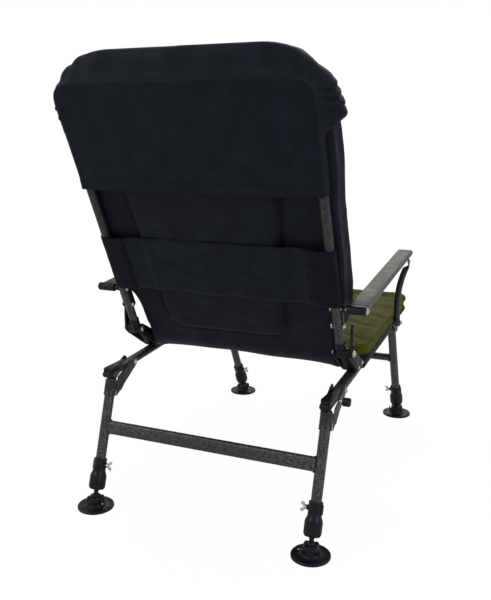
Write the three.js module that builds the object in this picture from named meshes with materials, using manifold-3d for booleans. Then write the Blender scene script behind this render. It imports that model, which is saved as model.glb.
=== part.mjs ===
// Folding carp fishing chair with a reclining back, swinging armrests and four telescopic legs.
// Lengths are in millimetres. +X is the sitter's left, +Y points to the rear and +Z up.
import * as THREE from 'three';
import { mergeVertices } from 'three/addons/utils/BufferGeometryUtils.js';
import Module from 'manifold-3d';

const wasm = await Module();
wasm.setup();

// Stance: the frame tubes stand in two upright planes, one each side of the middle
const trackHalf = 250;
const rearFootY = 300.5;
const frontFootY = -538;
const rearLegTilt = 18.3;
const frontLegTilt = -28.9;

// Running gap between pieces that touch, the overrun of every cut and the overlap of every join
const gap = 0.3;
const overrun = 2;
const weld = 1;

// Seat frame: flat-oval side tubes that rise to the front, and a bent front bow
const seatRearY = 230;
const seatRearZ = 288;
const seatRise = 3.5;
const seatTubeWidth = 25;
const seatTubeHeight = 14;
const seatTubeWall = 1.6;
const seatTubeLength = 655;
const seatBowRadius = 55;
const seatCapLength = 9;
const seatCapPlug = 12;
const leafLength = 62;
const leafThick = 3;
const leafLift = 4.5;

// Back frame: two round uprights and a bent top bow
const backBaseY = 126.3;
const backBaseZ = 391.7;
const backTilt = -25.77;
const uprightInset = 5;
const uprightHalf = trackHalf - uprightInset;
const uprightRadius = 9.5;
const uprightWall = 1.3;
const uprightLength = 488;
const backBowTop = 550;
const backBowRadius = 58;

// Recline hinge between the seat tube and the upright
const hingeDrop = 27.6;
const sleeveRadius = 11;
const sleeveTuck = 9;
const hingeEarThick = 3;
const hingeEarRadius = 12.5;
const hingeFootLength = 50;
const hingeFootAhead = 118;
const hingeFootRadius = 6;
const hingePinRadius = 4;
const hingeBlockAhead = 30;
const hingeBlockDrop = 22;
const hingeBlockRadius = 3;
const leverLength = 60;
const leverRootRadius = 9;
const leverTipRadius = 3.2;
const leverThick = 5;
const leverLean = -6;

// Armrest with its pivot on the upright, and the strut that carries its front
const armPivotRise = 88;
const armLowerRise = 44;
const armStandOff = 37;
const armMiddle = trackHalf + armStandOff;
const armWidth = 40;
const armThick = 14;
const armCorner = 5;
const armFrontY = -328;
const armTilt = -5.9;
const armCapLength = 24;
const armNoseRadius = 9;
const strutFootY = -338;
const strutFootZ = 331;
const strutTopY = -250;
const strutTopZ = 508;
const strutRadius = 8;
const strutTabThick = 3;
const strutTabLength = 24;
const strutEyeRadius = 6.5;

// Bolts and straps
const boltRadius = 3;
const boltHeadRadius = 5.6;
const boltHeadThick = 3.4;
const strapThick = 2;
const strapHalf = 9;

// Legs: outer tube, locking collar, inner leg with a ball end, and a swivel foot
const legRadius = 11;
const legWall = 1.3;
const rearLegTop = 262;
const frontLegPivot = 315.7;
const frontLegOver = 8;
const collarFoot = 17;
const collarWaist = 50;
const collarShoulder = 57;
const collarTop = 85;
const collarRadius = 17.5;
const collarNeckRadius = 13.8;
const collarChamfer = 1;
const innerRadius = 9;
const innerWall = 1.5;
const innerTop = 190;
const innerShoulder = 19;
const neckRadius = 5;
const ballRadius = 9;
const ballHeight = 25;
const footRadius = 40;
const footRim = 6;
const footFloor = 4.5;
const footRimWidth = 3;
const footRimDraft = 1;
const bossRadius = 19;
const bossTopRadius = 13;
const bossRise = 2;
const wingShank = 2.5;
const wingThick = 2;
const wingSpan = 20;
const wingHeight = 13;
const wingStandOff = 4;

// Rear leg bracket: a sleeve on each leg top with two cheeks beside the seat tube
const rearBoltY = 143;
const rearBoltZ = 295;
const legSleeveRadius = 13.3;
const legSleeveLow = 225;
const legSleeveHigh = 260;
const cheekThick = 2;
const cheekNoseRadius = 11;
const cheekBackReach = 4;
const knobY = 189;
const knobZ = 288;
const knobRadius = 9;
const knobLength = 16;
const knobStem = 8;
const knobRibs = 12;
const knobRibDepth = 0.9;

// Front saddle bracket under the seat tube, with the ear that carries the strut
const saddleHalf = 13;
const saddleThick = 2;
const saddleNoseRadius = 8.5;
const strutEarRadius = 8;

// Crossbars between the legs
const rearBarZ = 173;
const rearBarHeight = 30;
const rearBarWidth = 15;
const frontBarZ = 202;
const frontBarRadius = 10;

// Padding: one mattress in two parts, a head pocket, a lumbar band and the tube wraps
const seatPadOverhang = 14.5;
const seatPadHalf = trackHalf + seatPadOverhang;
const seatPadFrontY = -497;
const seatPadRearY = 92;
const seatPadThick = 50;
const seatPadCrown = 8;
const seatPadRoll = 24;
const seatPadCorner = 40;
const backPadOverhang = 31;
const backPadHalf = trackHalf + backPadOverhang;
const backPadLow = -24;
const backPadHigh = 600;
const backPadThick = 62;
const backPadCrown = 8;
const backPadWaist = 17;
const backPadWaistLow = 112;
const backPadWaistHigh = 165;
const backPadRoll = 28;
const backPadCorner = 62;
const channelPitch = 96;
const channelDepth = 5;
const channelWidth = 9;
const pocketOverhang = 23;
const pocketHalf = trackHalf + pocketOverhang;
const pocketLow = 345;
const pocketHigh = 567;
const pocketThick = 3.5;
const pocketRound = 14;
const pocketCorner = 52;
const bandLow = 97;
const bandHigh = 220;
const bandThick = 2.5;
const bandRound = 9;
const wrapThick = 2;
const wrapFrontY = -300;
const wrapRearY = -20;

// Facet counts
const tubeSides = 16;
const boltSides = 10;
const headSides = 6;
const footSides = 20;
const bendSteps = 5;
const cornerSteps = 3;
const padAcross = 12;
const padAlong = 30;

const finish = {
  frame: { color: 0x4b4d4c, metalness: 0.55, roughness: 0.55 },
  strut: { color: 0x26272a, metalness: 0.5, roughness: 0.5 },
  armrest: { color: 0x7a776e, metalness: 0.15, roughness: 0.6 },
  plastic: { color: 0x15131c, metalness: 0, roughness: 0.45 },
  steel: { color: 0xc4c6c8, metalness: 0.9, roughness: 0.3 },
  fabric: { color: 0x141920, metalness: 0, roughness: 0.9 },
  olive: { color: 0x4a4c26, metalness: 0, roughness: 0.9 },
};

// Solids

function outwardIndex(position, index) {
  const corner = [new THREE.Vector3(), new THREE.Vector3(), new THREE.Vector3()];
  const kept = [];
  let volume = 0;
  for (let i = 0; i < index.length; i += 3) {
    const [a, b, c] = [index[i], index[i + 1], index[i + 2]];
    if (a === b || b === c || c === a) continue;
    [a, b, c].forEach((vertex, n) => corner[n].fromBufferAttribute(position, vertex));
    volume += corner[0].dot(corner[1].clone().cross(corner[2]));
    kept.push(a, b, c);
  }
  if (volume > 0) return kept;
  for (let i = 0; i < kept.length; i += 3) [kept[i], kept[i + 1]] = [kept[i + 1], kept[i]];
  return kept;
}

function solid(geometry) {
  const bare = new THREE.BufferGeometry();
  bare.setAttribute('position', geometry.getAttribute('position').clone());
  if (geometry.index) bare.setIndex(geometry.index.clone());
  const merged = mergeVertices(bare);
  const triangles = outwardIndex(merged.attributes.position, merged.index.array);
  return new wasm.Manifold(new wasm.Mesh({
    numProp: 3,
    vertProperties: new Float32Array(merged.attributes.position.array),
    triVerts: new Uint32Array(triangles),
  }));
}

function surface(body) {
  const mesh = body.getMesh();
  const geometry = new THREE.BufferGeometry();
  const points = [];
  for (let i = 0; i < mesh.vertProperties.length; i += mesh.numProp) {
    points.push(...mesh.vertProperties.slice(i, i + 3));
  }
  geometry.setAttribute('position', new THREE.Float32BufferAttribute(points, 3));
  geometry.setIndex([...mesh.triVerts]);
  return geometry;
}

const join = (...pieces) => pieces.map(solid).reduce((whole, piece) => whole.add(piece));
const cut = (body, ...pieces) => pieces.map(solid).reduce((rest, piece) => rest.subtract(piece), body);

// Shapes

function turned(profile, sides = tubeSides) {
  const outline = profile.map(([radius, height]) => new THREE.Vector2(radius, height));
  return new THREE.LatheGeometry(outline, sides).rotateX(Math.PI / 2);
}

function pipe(outer, inner, low, high, sides = tubeSides) {
  return turned([[inner, low], [outer, low], [outer, high], [inner, high], [inner, low]], sides);
}

function crossRod(radius, from, to, y, z, sides = boltSides) {
  const rod = new THREE.CylinderGeometry(radius, radius, to - from, sides);
  return rod.rotateZ(Math.PI / 2).translate((from + to) / 2, y, z);
}

function box(x0, x1, y0, y1, z0, z1) {
  const block = new THREE.BoxGeometry(x1 - x0, y1 - y0, z1 - z0);
  return block.translate((x0 + x1) / 2, (y0 + y1) / 2, (z0 + z1) / 2);
}

function stadium(width, height, arcSteps = cornerSteps) {
  const radius = Math.min(width, height) / 2;
  const [alongX, alongY] = [width / 2 - radius, height / 2 - radius];
  const points = [];
  for (let quarter = 0; quarter < 4; quarter += 1) {
    const x = quarter === 0 || quarter === 3 ? alongX : -alongX;
    const y = quarter < 2 ? alongY : -alongY;
    for (let step = 0; step <= arcSteps; step += 1) {
      const angle = (quarter + step / arcSteps) * (Math.PI / 2);
      points.push(new THREE.Vector2(x + radius * Math.cos(angle), y + radius * Math.sin(angle)));
    }
  }
  return points.filter((point, i) => i === 0 || point.distanceTo(points[i - 1]) > gap / 100);
}

function hullOutline(circles, arcSteps = boltSides) {
  const points = [];
  for (const [y, z, radius] of circles) {
    for (let step = 0; step < arcSteps; step += 1) {
      const angle = (step / arcSteps) * Math.PI * 2;
      points.push(new THREE.Vector2(y + radius * Math.cos(angle), z + radius * Math.sin(angle)));
    }
  }
  points.sort((a, b) => a.x - b.x || a.y - b.y);
  const turn = (o, a, b) => (a.x - o.x) * (b.y - o.y) - (a.y - o.y) * (b.x - o.x);
  const half = (list) => {
    const chain = [];
    for (const point of list) {
      while (chain.length > 1 && turn(chain.at(-2), chain.at(-1), point) <= gap / 100) chain.pop();
      chain.push(point);
    }
    return chain.slice(0, -1);
  };
  return [...half(points), ...half([...points].reverse())];
}

// A flat plate whose outline lies in the side view, from one X to another
function sidePlate(outline, from, to) {
  const shape = new THREE.Shape(outline);
  const plate = new THREE.ExtrudeGeometry(shape, { depth: to - from, bevelEnabled: false });
  const turn = new THREE.Matrix4().makeBasis(
    new THREE.Vector3(0, 1, 0), new THREE.Vector3(0, 0, 1), new THREE.Vector3(1, 0, 0));
  return plate.applyMatrix4(turn).translate(from, 0, 0);
}

// A closed tube through stations: each has its centre and the directions of the outline's two axes
function sweep(stations) {
  const points = [];
  const faces = [];
  const ring = stations[0].outline.length;
  for (const { centre, across, over, outline } of stations) {
    for (const point of outline) {
      points.push(...centre.clone().addScaledVector(across, point.x).addScaledVector(over, point.y));
    }
  }
  for (let row = 0; row + 1 < stations.length; row += 1) {
    for (let i = 0; i < ring; i += 1) {
      const [a, b] = [row * ring + i, row * ring + ((i + 1) % ring)];
      faces.push(a, b, b + ring, a, b + ring, a + ring);
    }
  }
  for (const [a, b, c] of THREE.ShapeUtils.triangulateShape(stations[0].outline, [])) {
    const last = (stations.length - 1) * ring;
    faces.push(c, b, a, last + a, last + b, last + c);
  }
  const geometry = new THREE.BufferGeometry();
  geometry.setAttribute('position', new THREE.Float32BufferAttribute(points, 3));
  geometry.setIndex(faces);
  return geometry;
}

// A U-shaped bow with two round corners; the map turns its flat plan into place
function bow(outline, half, depth, radius, place) {
  const stations = [];
  const add = (u, v, du, dv) => stations.push({
    outline, centre: place(u, v), across: place(u + dv, v - du).sub(place(u, v)), over: place.normal,
  });
  add(half, 0, 0, 1);
  for (let step = 0; step <= bendSteps; step += 1) {
    const angle = (step / bendSteps) * (Math.PI / 2);
    const [c, s] = [Math.cos(angle), Math.sin(angle)];
    add(half - radius + radius * c, depth - radius + radius * s, -s, c);
  }
  for (let step = 0; step <= bendSteps; step += 1) {
    const angle = (step / bendSteps) * (Math.PI / 2);
    const [c, s] = [Math.cos(angle), Math.sin(angle)];
    add(-(half - radius) - radius * s, depth - radius + radius * c, -c, -s);
  }
  add(-half, 0, 0, -1);
  return sweep(stations);
}

// A cushion on a rounded rectangle: it rolls in at its rim, swells to its crown and dips at its seams
function cushion({ half, low, high, corner, roll, thick, crown, seams, waist }) {
  const [middle, reach] = [(low + high) / 2, (high - low) / 2];
  const spread = (i, count) => Math.sin((i / count - 0.5) * Math.PI);
  const points = [];
  const faces = [];
  for (const side of [1, -1]) {
    for (let j = 0; j <= padAlong; j += 1) {
      for (let i = 0; i <= padAcross; i += 1) {
        const [u, v] = [spread(i, padAcross), j / padAlong * 2 - 1];
        let [x, y] = [u * half, v * reach];
        const rim = Math.min(half - Math.abs(x), reach - Math.abs(y), roll) / roll;
        const full = Math.sqrt(Math.max(0, 1 - (1 - rim) ** 2));
        const swell = (1 - u ** 4) * (1 - v ** 4);
        const [ix, iy] = [half - corner, reach - corner];
        const [ex, ey] = [Math.abs(x) - ix, Math.abs(y) - iy];
        if (ex > 0 && ey > 0) {
          const shrink = Math.max(ex, ey) / Math.hypot(ex, ey);
          x = Math.sign(x) * (ix + ex * shrink);
          y = Math.sign(y) * (iy + ey * shrink);
        }
        const away = seams.map((seam) => (y + middle - seam) / channelWidth);
        const dip = away.reduce((sum, step) => sum + Math.exp(-(step ** 2)), 0);
        const top = full * (thick / 2 - dip * channelDepth) + swell * crown;
        if (waist) {
          const raised = THREE.MathUtils.smoothstep(y + middle, waist.low, waist.high);
          x *= 1 - (waist.depth / half) * (1 - raised);
        }
        points.push(x, y + middle, side > 0 ? top : -full * (thick / 2));
      }
    }
  }
  const row = padAcross + 1;
  const layer = row * (padAlong + 1);
  for (let j = 0; j < padAlong; j += 1) {
    for (let i = 0; i < padAcross; i += 1) {
      const a = j * row + i;
      faces.push(a, a + 1, a + row + 1, a, a + row + 1, a + row);
      const b = layer + a;
      faces.push(b, b + row + 1, b + 1, b, b + row, b + row + 1);
    }
  }
  const geometry = new THREE.BufferGeometry();
  geometry.setAttribute('position', new THREE.Float32BufferAttribute(points, 3));
  geometry.setIndex(faces);
  return geometry;
}

function seamPlaces(from, to) {
  const count = Math.max(1, Math.round(Math.abs(to - from) / channelPitch));
  return Array.from({ length: count - 1 }, (_, n) => from + ((to - from) * (n + 1)) / count);
}

// Groups: each carries the pieces that share one tilt

const chair = new THREE.Group();

function frameAt(y, z, tilt) {
  const group = new THREE.Group();
  group.position.set(0, y, z);
  group.rotation.x = THREE.MathUtils.degToRad(tilt);
  chair.add(group);
  group.updateMatrixWorld(true);
  return group;
}

const local = (group, y, z) => group.worldToLocal(new THREE.Vector3(0, y, z));

function add(group, name, body, look) {
  const geometry = body instanceof THREE.BufferGeometry ? surface(solid(body)) : surface(body);
  const mesh = new THREE.Mesh(geometry.toNonIndexed(), new THREE.MeshStandardMaterial(finish[look]));
  mesh.geometry.computeVertexNormals();
  mesh.name = name;
  group.add(mesh);
}

const mirrored = (body) => solid(surface(body).scale(-1, 1, 1));

function addPair(group, name, body, look) {
  const left = body instanceof THREE.BufferGeometry ? solid(body) : body;
  add(group, `${name}_L`, left, look);
  add(group, `${name}_R`, mirrored(left), look);
}

const seat = frameAt(seatRearY, seatRearZ, -seatRise);
const back = frameAt(backBaseY, backBaseZ, backTilt);
const rearLegs = frameAt(rearFootY, ballHeight, rearLegTilt);
const frontLegs = frameAt(frontFootY, ballHeight, frontLegTilt);
const rearFeet = frameAt(rearFootY, 0, 0);
const frontFeet = frameAt(frontFootY, 0, 0);

// Places that several pieces share
const seatTop = seatTubeHeight / 2;
const cheekInner = seatTubeWidth / 2 + gap;
const cheekOuter = cheekInner + cheekThick;
const hingeWorld = back.localToWorld(new THREE.Vector3(0, 0, -hingeDrop));
const hinge = local(seat, hingeWorld.y, hingeWorld.z);
const rearBolt = local(seat, rearBoltY, rearBoltZ);
const legPivotWorld = frontLegs.localToWorld(new THREE.Vector3(0, 0, frontLegPivot));
const legPivot = local(seat, legPivotWorld.y, legPivotWorld.z);
const strutFoot = local(seat, strutFootY, strutFootZ);
const strutX = trackHalf + cheekOuter + gap + strutRadius;
const hingeInner = uprightHalf - sleeveRadius - gap;
const hingeOuter = trackHalf + cheekInner;
const frontY = -seatTubeLength;

// Seat side tube, drilled for the rear bracket bolt
function seatSideTube() {
  const section = new THREE.Shape(stadium(seatTubeWidth, seatTubeHeight));
  section.holes.push(new THREE.Path(
    stadium(seatTubeWidth - 2 * seatTubeWall, seatTubeHeight - 2 * seatTubeWall)));
  const tube = new THREE.ExtrudeGeometry(section, { depth: seatTubeLength, bevelEnabled: false });
  tube.rotateX(Math.PI / 2).translate(trackHalf, 0, 0);
  const hole = crossRod(boltRadius + gap, trackHalf - seatTubeWidth, trackHalf + seatTubeWidth,
    rearBolt.y, rearBolt.z);
  return cut(solid(tube), hole);
}

function seatFrontBow() {
  const place = (u, v) => new THREE.Vector3(u, frontY - gap - v, 0);
  place.normal = new THREE.Vector3(0, 0, 1);
  return bow(stadium(seatTubeWidth, seatTubeHeight), trackHalf, seatBowRadius * 1.1, seatBowRadius, place);
}

// Black end cap with a plug in the tube and a leaf that springs along the top of the tube
function seatTubeCap() {
  const outline = stadium(seatTubeWidth, seatTubeHeight);
  const bore = seatTubeWall + gap;
  const plugOutline = stadium(seatTubeWidth - 2 * bore, seatTubeHeight - 2 * bore);
  const across = new THREE.Vector3(1, 0, 0);
  const over = new THREE.Vector3(0, 0, 1);
  const head = [];
  for (let step = 0; step <= bendSteps; step += 1) {
    const angle = (step / bendSteps) * (Math.PI / 2) * 0.9;
    const shrink = Math.cos(angle);
    head.push({
      outline: outline.map((p) => new THREE.Vector2(p.x * (0.5 + 0.5 * shrink), p.y * shrink)),
      centre: new THREE.Vector3(trackHalf, gap + seatCapLength * Math.sin(angle), 0),
      across, over,
    });
  }
  const plug = sweep([-seatCapPlug, gap + weld].map((y) => ({
    outline: plugOutline, centre: new THREE.Vector3(trackHalf, y, 0), across, over })));
  const half = seatTubeWidth / 2 - seatTubeWall;
  const leafLow = seatTop + leafLift;
  const leaf = box(trackHalf - half, trackHalf + half, -leafLength, seatCapLength / 3,
    leafLow, leafLow + leafThick);
  const heel = box(trackHalf - half, trackHalf + half, gap, seatCapLength / 3, 0, leafLow + leafThick);
  return join(sweep(head), plug, leaf, heel);
}

// Hinge base: two ears that straddle the seat tube and lean back to the hinge bolt, with a block between
function hingeBase() {
  const [inner, outer] = [hingeInner - hingeEarThick, hingeOuter + hingeEarThick];
  const ends = [hinge.y - hingeFootAhead, hinge.y - hingeFootAhead + hingeFootLength];
  const foot = ends.map((y) => [y, 0, hingeFootRadius]);
  const outline = hullOutline([[hinge.y, hinge.z, hingeEarRadius], ...foot]);
  const ears = [[inner, hingeInner], [hingeOuter, outer]].map(([from, to]) => sidePlate(outline, from, to));
  const seated = ends.map((y) => [y, seatTop + gap + hingeBlockRadius, hingeBlockRadius]);
  const raised = [hinge.y - hingeBlockAhead, hinge.z - hingeBlockDrop, hingeBlockRadius];
  const block = sidePlate(hullOutline([...seated, raised]), inner + weld, outer - weld);
  const lever = outer + gap + leverThick + gap;
  const pin = crossRod(hingePinRadius, inner - boltHeadThick, lever + weld, hinge.y, hinge.z);
  const headEnds = [[inner - boltHeadThick, inner + weld], [lever, lever + boltHeadThick]];
  const heads = headEnds.map(([from, to]) => crossRod(boltHeadRadius, from, to, hinge.y, hinge.z));
  const clear = crossRod(sleeveRadius + 2 * gap, hingeInner, hingeOuter, hinge.y, hinge.z, tubeSides);
  return cut(join(...ears, block), clear).add(join(pin, ...heads));
}

function reclineLever() {
  const from = hingeOuter + hingeEarThick + gap;
  const lean = THREE.MathUtils.degToRad(leverLean + seatRise);
  const tip = [hinge.y - leverLength * Math.sin(lean), hinge.z + leverLength * Math.cos(lean)];
  const outline = hullOutline([[hinge.y, hinge.z, leverRootRadius], [...tip, leverTipRadius]], tubeSides);
  const to = from + leverThick;
  const hole = crossRod(hingePinRadius + gap, from - overrun, to + overrun, hinge.y, hinge.z);
  return cut(solid(sidePlate(outline, from, to)), hole);
}

// Saddle under the seat tube: two cheeks hold the front leg, and an ear outside the tube the strut
function frontSaddle() {
  const legInner = legRadius + 2 * gap;
  const top = -seatTop - gap;
  const reach = [legPivot.y - saddleHalf, legPivot.y + saddleHalf];
  const nose = [legPivot.y, legPivot.z, saddleNoseRadius];
  const corners = reach.map((y) => [y, top - weld, weld]);
  const innerCheek = sidePlate(hullOutline([nose, ...corners]),
    trackHalf - legInner - saddleThick, trackHalf - legInner);
  const ear = sidePlate(hullOutline([nose, corners[0], [strutFoot.y, strutFoot.z, strutEarRadius]]),
    trackHalf + cheekInner, trackHalf + cheekOuter);
  const web = box(trackHalf - legInner - saddleThick, trackHalf + cheekOuter, ...reach,
    top - saddleThick, top);
  const outside = trackHalf + cheekOuter + boltHeadThick;
  const rivet = crossRod(boltRadius, trackHalf - legInner - boltHeadThick, outside, legPivot.y, legPivot.z);
  const pinEnd = strutX + strutRadius + 2 * gap;
  const pin = crossRod(boltRadius, trackHalf + cheekInner, pinEnd + weld, strutFoot.y, strutFoot.z);
  const nut = crossRod(boltHeadRadius, pinEnd, pinEnd + boltHeadThick, strutFoot.y, strutFoot.z, headSides);
  return join(innerCheek, ear, web, rivet, pin, nut);
}

function throughBolt(inner, outer, y, z) {
  const shank = crossRod(boltRadius, inner - weld, outer + weld, y, z);
  const head = crossRod(boltHeadRadius, inner - boltHeadThick, inner, y, z);
  const nut = crossRod(boltHeadRadius, outer, outer + boltHeadThick, y, z, headSides);
  return join(shank, head, nut);
}

// Fabric wrap: an arch of cloth over the side tube, open below
function seatWrap() {
  const inner = stadium(seatTubeWidth + 2 * gap, seatTubeHeight + 2 * gap);
  const outer = stadium(seatTubeWidth + 2 * (gap + wrapThick), seatTubeHeight + 2 * (gap + wrapThick));
  const [from, to] = [wrapRearY, wrapFrontY].map((y) => local(seat, y, seatRearZ).y);
  const shell = new THREE.Shape(outer);
  shell.holes.push(new THREE.Path(inner));
  const sleeve = new THREE.ExtrudeGeometry(shell, { depth: from - to, bevelEnabled: false });
  sleeve.rotateX(Math.PI / 2).translate(trackHalf, from, 0);
  const below = box(trackHalf - seatTubeWidth, trackHalf + seatTubeWidth, to - overrun, from + overrun,
    -seatTubeHeight - overrun, -seatTop + wrapThick);
  return cut(solid(sleeve), below);
}

function seatPad() {
  const rest = seatTop + gap;
  const [low, high] = [seatPadFrontY, seatPadRearY].map((y) => local(seat, y, seatRearZ).y);
  const pad = cushion({
    half: seatPadHalf, low, high, corner: seatPadCorner, roll: seatPadRoll,
    thick: seatPadThick, crown: seatPadCrown, seams: seamPlaces(low, high),
  }).translate(0, 0, rest + seatPadThick / 2);
  const notch = box(hingeInner - hingeEarThick - boltHeadThick - wrapThick, seatPadHalf + overrun,
    hinge.y - hingeFootAhead - wrapThick - 2 * hingeEarThick, high + overrun, 0, seatPadThick * 2);
  const other = notch.clone().scale(-1, 1, 1);
  return cut(solid(pad), notch, other);
}

addPair(seat, 'seat_side_tube', seatSideTube(), 'frame');
add(seat, 'seat_front_bow', seatFrontBow(), 'frame');
addPair(seat, 'seat_tube_cap', seatTubeCap(), 'plastic');
addPair(seat, 'hinge_base', hingeBase(), 'plastic');
addPair(seat, 'recline_lever', reclineLever(), 'plastic');
addPair(seat, 'front_leg_saddle', frontSaddle(), 'frame');
addPair(seat, 'rear_bracket_bolt', throughBolt(trackHalf - cheekOuter - gap, trackHalf + cheekOuter + gap,
  rearBolt.y, rearBolt.z), 'steel');
addPair(seat, 'seat_wrap', seatWrap(), 'fabric');
add(seat, 'seat_pad', seatPad(), 'olive');

// Back frame, drilled for the two armrest bolts
function upright() {
  const tube = pipe(uprightRadius, uprightRadius - uprightWall, 0, uprightLength);
  const [from, to] = [uprightHalf - 2 * uprightRadius, uprightHalf + 2 * uprightRadius];
  const holes = [armPivotRise, armLowerRise].map((rise) => crossRod(boltRadius + gap, from, to, 0, rise));
  return cut(solid(tube.translate(uprightHalf, 0, 0)), ...holes);
}

function backTopBow() {
  const place = (u, v) => new THREE.Vector3(u, 0, uprightLength + gap + v);
  place.normal = new THREE.Vector3(0, 1, 0);
  const section = stadium(2 * uprightRadius, 2 * uprightRadius);
  return bow(section, uprightHalf, backBowTop - uprightLength, backBowRadius, place);
}

// Hinge sleeve: closed round end at the hinge bolt, plugged into the foot of the upright
function hingeSleeve() {
  const plug = uprightRadius - uprightWall - gap;
  const profile = [[0, -hingeDrop - sleeveRadius]];
  for (let step = 1; step <= bendSteps; step += 1) {
    const angle = (step / bendSteps) * (Math.PI / 2);
    profile.push([sleeveRadius * Math.sin(angle), -hingeDrop - sleeveRadius * Math.cos(angle)]);
  }
  profile.push([sleeveRadius, -gap], [plug, -gap], [plug, sleeveTuck], [0, sleeveTuck]);
  const sleeve = turned(profile).translate(uprightHalf, 0, 0);
  const reach = 2 * sleeveRadius;
  const hole = crossRod(hingePinRadius + gap, uprightHalf - reach, uprightHalf + reach, 0, -hingeDrop);
  const boss = crossRod(sleeveRadius, uprightHalf, hingeOuter - gap, 0, -hingeDrop, tubeSides);
  return cut(join(sleeve, boss), hole);
}

// Armrest strap: a strip on the outside of the upright, held by the lower bolt
function armStrap() {
  const inside = uprightHalf - uprightRadius - gap;
  const from = uprightHalf + uprightRadius + gap;
  const to = from + strapThick;
  const ends = [[0, armLowerRise, strapHalf], [0, armPivotRise - strapHalf / 2, strapHalf]];
  const strip = sidePlate(hullOutline(ends), from, to);
  const shank = crossRod(boltRadius, inside - weld, to, 0, armLowerRise);
  const head = crossRod(boltHeadRadius, inside - boltHeadThick, inside, 0, armLowerRise);
  const nut = crossRod(boltHeadRadius, to - weld, to + boltHeadThick, 0, armLowerRise, headSides);
  const hole = crossRod(boltRadius + gap, from - overrun, to + overrun, 0, armPivotRise);
  return cut(join(strip, shank, head, nut), hole);
}

const armOuter = armMiddle + armWidth / 2;
const armInner = armMiddle - armWidth / 2;

function backPad() {
  const rest = uprightRadius + 2 * gap;
  const pad = cushion({
    half: backPadHalf, low: backPadLow, high: backPadHigh, corner: backPadCorner, roll: backPadRoll,
    thick: backPadThick, crown: backPadCrown, seams: seamPlaces(backPadLow, backPadHigh),
    waist: { depth: backPadWaist, low: backPadWaistLow, high: backPadWaistHigh },
  });
  const stand = new THREE.Matrix4().makeBasis(
    new THREE.Vector3(1, 0, 0), new THREE.Vector3(0, 0, 1), new THREE.Vector3(0, -1, 0));
  pad.applyMatrix4(stand).translate(0, -rest - backPadThick / 2, 0);
  const clear = crossRod(hingeEarRadius + wrapThick, trackHalf - 2 * hingeEarRadius, backPadHalf + overrun,
    0, -hingeDrop, tubeSides);
  const other = clear.clone().scale(-1, 1, 1);
  return cut(solid(pad), clear, other);
}

// A cloth cover round the back of the frame: a plate with rounded edges that turn forward
function wrapSection(half, behind, thick, round) {
  const front = uprightRadius;
  const outer = [];
  const inner = [];
  for (const side of [1, -1]) {
    for (let step = 0; step <= bendSteps; step += 1) {
      const angle = ((side > 0 ? step : bendSteps - step) / bendSteps) * (Math.PI / 2);
      for (const [list, inset] of [[outer, 0], [inner, thick]]) {
        const radius = round - inset;
        list.push(new THREE.Vector2(
          side * (half - round + radius * Math.cos(angle)),
          behind + thick - round + radius * Math.sin(angle)));
      }
    }
  }
  const [right, left] = [[half, -front], [-half, -front]].map(([x, y]) => new THREE.Vector2(x, y));
  const [rightIn, leftIn] = [[half - thick, -front], [thick - half, -front]]
    .map(([x, y]) => new THREE.Vector2(x, y));
  return new THREE.Shape([right, ...outer, left, leftIn, ...inner.reverse(), rightIn]);
}

function headPocket() {
  const behind = uprightRadius + gap;
  const shell = new THREE.ExtrudeGeometry(wrapSection(pocketHalf, behind, pocketThick, pocketRound),
    { depth: pocketHigh - pocketLow, bevelEnabled: false }).translate(0, 0, pocketLow);
  const roof = box(-pocketHalf, pocketHalf, -uprightRadius, behind + pocketThick,
    pocketHigh - pocketThick, pocketHigh);
  const reach = pocketHalf - pocketCorner;
  const rounds = [];
  for (let step = 0; step <= bendSteps; step += 1) {
    const angle = (step / bendSteps) * (Math.PI / 2);
    rounds.push(new THREE.Vector2(reach + pocketCorner * Math.cos(angle),
      pocketHigh - pocketCorner + pocketCorner * Math.sin(angle)));
  }
  const outline = [new THREE.Vector2(-pocketHalf, pocketLow), new THREE.Vector2(pocketHalf, pocketLow),
    ...rounds, ...rounds.map((p) => new THREE.Vector2(-p.x, p.y)).reverse()];
  const depth = 4 * uprightRadius + 2 * pocketThick;
  const profile = new THREE.ExtrudeGeometry(new THREE.Shape(outline), { depth, bevelEnabled: false });
  const stand = new THREE.Matrix4().makeBasis(
    new THREE.Vector3(1, 0, 0), new THREE.Vector3(0, 0, 1), new THREE.Vector3(0, -1, 0));
  profile.applyMatrix4(stand).translate(0, depth / 2, 0);
  return join(shell, roof).intersect(solid(profile));
}

function lumbarBand() {
  const half = uprightHalf + uprightRadius + gap + bandThick;
  return new THREE.ExtrudeGeometry(wrapSection(half, uprightRadius + gap, bandThick, bandRound),
    { depth: bandHigh - bandLow, bevelEnabled: false }).translate(0, 0, bandLow);
}

addPair(back, 'upright', upright(), 'frame');
add(back, 'back_top_bow', backTopBow(), 'frame');
addPair(back, 'hinge_sleeve', hingeSleeve(), 'plastic');
addPair(back, 'arm_strap', armStrap(), 'steel');
addPair(back, 'arm_bolt', throughBolt(uprightHalf - uprightRadius - gap, armOuter + gap, 0, armPivotRise),
  'steel');
add(back, 'back_pad', backPad(), 'olive');
add(back, 'head_pocket', headPocket(), 'fabric');
add(back, 'lumbar_band', lumbarBand(), 'fabric');

// Armrest: a flat pad on a line through its pivot, with a rounded black cap at the rear
const armPivot = back.localToWorld(new THREE.Vector3(0, 0, armPivotRise));
const arm = frameAt(armPivot.y, armPivot.z, armTilt);
const armFront = local(arm, armFrontY, armPivot.z).y;
const armSplit = -armCapLength + armNoseRadius;

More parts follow.
